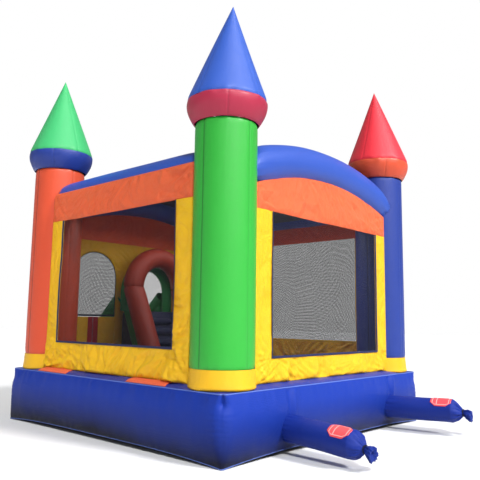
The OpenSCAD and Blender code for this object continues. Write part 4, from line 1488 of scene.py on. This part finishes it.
# --- Entrance step ---
# A separate air-filled blue block strapped in front of the doorway; its front half slopes down to a low lip.
step_low, step_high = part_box("entrance_step")
step_deep = step_high.y - step_low.y
step_outline = [
    (step_high.y, 0.004), (step_high.y, step_high.z), (step_high.y - step_deep / 2, step_high.z),
    (step_low.y, step_high.z / 2), (step_low.y, 0.004),
]


def step_swell(y, z, v):
    across = 4 * v * (1 - v)
    on_top = z > 0.2
    return (0.012 * across if on_top else 0.004) + 0.004 * drift(y * 6, z * 6, v * 4)


step_block = puffed_slab(step_outline, step_low.x, step_high.x, 0.035, step_swell, 24)
air_filled("entrance_step_cloth", step_block, base_cloth, "base_vinyl", "entrance_step")

# --- Blower tubes ---
# Two blue cloth tubes feed air in at the rear. Each is sewn to the base, runs straight out under pressure,
# and is gathered at its end by a webbing tie with a short crumpled tuft of cloth beyond it.
# The tubes take some painted shade towards the ground
tube_cloth = coated_cloth(
    "tube_cloth", paint(26, 52, 150), 0.35, 5.0, ground_shade=0.5, gloss=0.36, coat=0.0, shine=0.15
)
tie_web = coated_cloth("tie_web", paint(16, 24, 56), 0.2, 12.0, weave=2.5, ground_shade=0.0, gloss=0.6, coat=0.0)
tube_radius, tube_length, neck_length, neck_radius, tuft_length = 0.140, 0.800, 0.090, 0.028, 0.095
tube_out = seam_half + bulge + 0.001
tube_ways = {"blower_tube_left": (-3.9, -3.2, 30), "blower_tube_right": (8.8, 1.2, 28)}
tie_up = tube_length + neck_length


def tube_radius_at(z):
    if z < tube_length - 0.04:
        return tube_radius
    if z < tie_up:
        t = (z - tube_length + 0.04) / (tie_up - tube_length + 0.04)
        return neck_radius + (tube_radius - neck_radius) * max(0.0, 1 - t**1.5) ** 0.9
    t = (z - tie_up) / tuft_length
    return neck_radius + 0.036 * sin(min(1, t * 1.15) * pi / 2)


tube_profile = [(tube_radius_at(z), z) for z in [-0.05 + 0.02 * i for i in range(39)]]
tube_profile += [(tube_radius_at(z), z) for z in [tube_length - 0.07 + 0.16 * i / 26 for i in range(1, 27)]]
tube_profile += [(tube_radius_at(z), z) for z in [tie_up + tuft_length * i / 12 for i in range(1, 13)]]
tuft_end = tie_up + tuft_length
tube_profile += [(0.045, tuft_end - 0.004), (0.020, tuft_end - 0.03), (0.0, tie_up + 0.03)]
placings = {}
for number, (node_name, (sideways_turn, rise_turn, patch_turn)) in enumerate(tube_ways.items()):
    root_x, root_up = tube_roots[number]
    placing = Matrix.Translation((root_x, tube_out, root_up))
    placing = placing @ Matrix.Rotation(radians(sideways_turn), 4, "Z")
    placing = placing @ Matrix.Rotation(radians(-90 + rise_turn), 4, "X")
    placings[node_name] = (placing, patch_turn)
    tube = spun(tube_profile, 96)
    for point in tube.verts:
        x, y, z = point.co
        radius = hypot(x, y)
        if radius < 0.004:
            continue
        ring = Vector((x / radius * 2.6, y / radius * 2.6, 5.0 * number))
        near_tie = fades(tube_length + 0.03 - z, 0.045) if z < tie_up else 1.0
        crumple = noise.noise(ring * 1.25 + Vector((0, 0, z * 3)))
        grown = 0.030 * near_tie * crumple * min(1, radius / 0.09)
        root_fold = noise.noise(ring * 1.6 + Vector((3, 1, 0)))
        grown += 0.011 * root_fold * fades(z - 0.01, 0.06)
        grown += 0.004 * drift(x * 6, y * 6, z * 4 + 9 * number)
        if z > tie_up:
            grown += 0.016 * drift(x * 45, y * 45, z * 28 + 5 * number) * (z - tie_up) / tuft_length
        if z < tie_up + 0.02 and z > tube_length:
            grown += 0.004 * noise.noise(ring * 4)
        scale_out = max(0.15, (radius + grown) / radius)
        point.co.x, point.co.y = x * scale_out, y * scale_out
        sag = max(0, z - tube_length + 0.05)
        point.co.y += 0.9 * sag * sag
        point.co.z += 0.006 * drift(x * 30, y * 30, 2.0 * number) * near_tie
    bmesh.ops.transform(tube, matrix=placing, verts=tube.verts)
    air_filled(f"{node_name}_cloth", tube, tube_cloth, "tube_vinyl", node_name)

    tie_sag = 0.9 * (neck_length + 0.05) ** 2

    def tie_path(t):
        turn = 2 * pi * t
        out = Vector((cos(turn), sin(turn), 0))
        wander = 0.004 * sin(3 * turn + number)
        middle = Vector((0, tie_sag, tie_up + wander)) + (neck_radius + 0.007) * out
        return middle, out, Vector((0, 0, 1)), 10.0

    tie = tube_piece(tie_path, 0.0095, 48, 12, 2.0, 0.0, 0.0)
    bmesh.ops.transform(tie, matrix=placing, verts=tie.verts)
    bmesh.ops.recalc_face_normals(tie, faces=tie.faces)
    finished(f"{node_name}_tie", tie, tie_web, "tie_web", ["tube_ties"])

# --- Tube patches ---
# A plain red patch of printed film is glued to each tube near its end, with a thin pale border line.
patch_film, film_tree, film = new_finish("patch_film")
film_place = film_tree.nodes.new("ShaderNodeUVMap")
film_place.uv_map = "patch"
film_apart = film_tree.nodes.new("ShaderNodeSeparateXYZ")
film_tree.links.new(film_place.outputs[0], film_apart.inputs[0])


def between(tree, value, low, high):
    """1 where the value lies between two numbers."""
    above, below = maths(tree, "GREATER_THAN", value, low), maths(tree, "LESS_THAN", value, high)
    return maths(tree, "MULTIPLY", above, below)


def from_ends(value):
    """How far a place on the film lies from the nearer of two opposite edges."""
    return maths(film_tree, "MINIMUM", value, maths(film_tree, "SUBTRACT", 1.0, value))


from_end, from_side = from_ends(film_apart.outputs[0]), from_ends(film_apart.outputs[1])
end_line, side_line = between(film_tree, from_end, 0.09, 0.125), between(film_tree, from_side, 0.10, 0.14)
border = maths(film_tree, "MAXIMUM", end_line, side_line)
past_end = maths(film_tree, "GREATER_THAN", from_end, 0.09)
past_side = maths(film_tree, "GREATER_THAN", from_side, 0.10)
inside = maths(film_tree, "MULTIPLY", past_end, past_side)
line = maths(film_tree, "MULTIPLY", border, inside)
bar = maths(film_tree, "MULTIPLY", between(film_tree, film_apart.outputs[0], 0.30, 0.34), inside)
pale_line = maths(film_tree, "MAXIMUM", line, bar)
rubbed = noise_of(film_tree, film_place.outputs[0], 14.0, 4.0)
film_tint = blended(film_tree, rubbed, paint(222, 62, 74), paint(240, 88, 96))
film_tint = blended(film_tree, maths(film_tree, "MULTIPLY", pale_line, 0.75), film_tint, paint(250, 196, 196))
film_tree.links.new(film_tint, film.inputs["Base Color"])
film_rough = maths(film_tree, "ADD", maths(film_tree, "MULTIPLY", rubbed, 0.2), 0.35)
film_tree.links.new(film_rough, film.inputs["Roughness"])
patch_length, patch_width = 0.250, 0.180
for node_name, (placing, patch_turn) in placings.items():
    patch = bmesh.new()
    bmesh.ops.create_grid(patch, x_segments=30, y_segments=22, size=1)
    layer = patch.loops.layers.uv.new("patch")
    for face in patch.faces:
        for loop in face.loops:
            loop[layer].uv = ((loop.vert.co.x + 1) / 2, (loop.vert.co.y + 1) / 2)
    seed = 5.0 * list(placings).index(node_name)
    for point in patch.verts:
        u, v = (point.co.x + 1) / 2, point.co.y
        taper = min(1, 0.42 + 0.58 * min(u, 1 - u) / 0.24)
        z = tube_length - 0.030 - patch_length + patch_length * u
        turn = radians(patch_turn) - pi / 2 + v * taper * patch_width / 2 / tube_radius
        x, y = tube_radius * cos(turn), tube_radius * sin(turn)
        ring = Vector((cos(turn) * 2.6, sin(turn) * 2.6, seed))
        near_tie = fades(tube_length + 0.03 - z, 0.045)
        grown = 0.030 * near_tie * noise.noise(ring * 1.25 + Vector((0, 0, z * 3)))
        grown += 0.004 * drift(x * 6, y * 6, z * 4 + 9 * seed / 5)
        radius = tube_radius_at(z) + grown + 0.0035
        sag = max(0, z - tube_length + 0.05)
        point.co = (radius * cos(turn), radius * sin(turn) + 0.9 * sag * sag, z)
    bmesh.ops.transform(patch, matrix=placing, verts=patch.verts)
    bmesh.ops.recalc_face_normals(patch, faces=patch.faces)
    piece = finished(f"{node_name}_patch", patch, patch_film, "label_patch", ["tube_labels"], thick=0.0015)
    area = patch_length * patch_width * 0.86
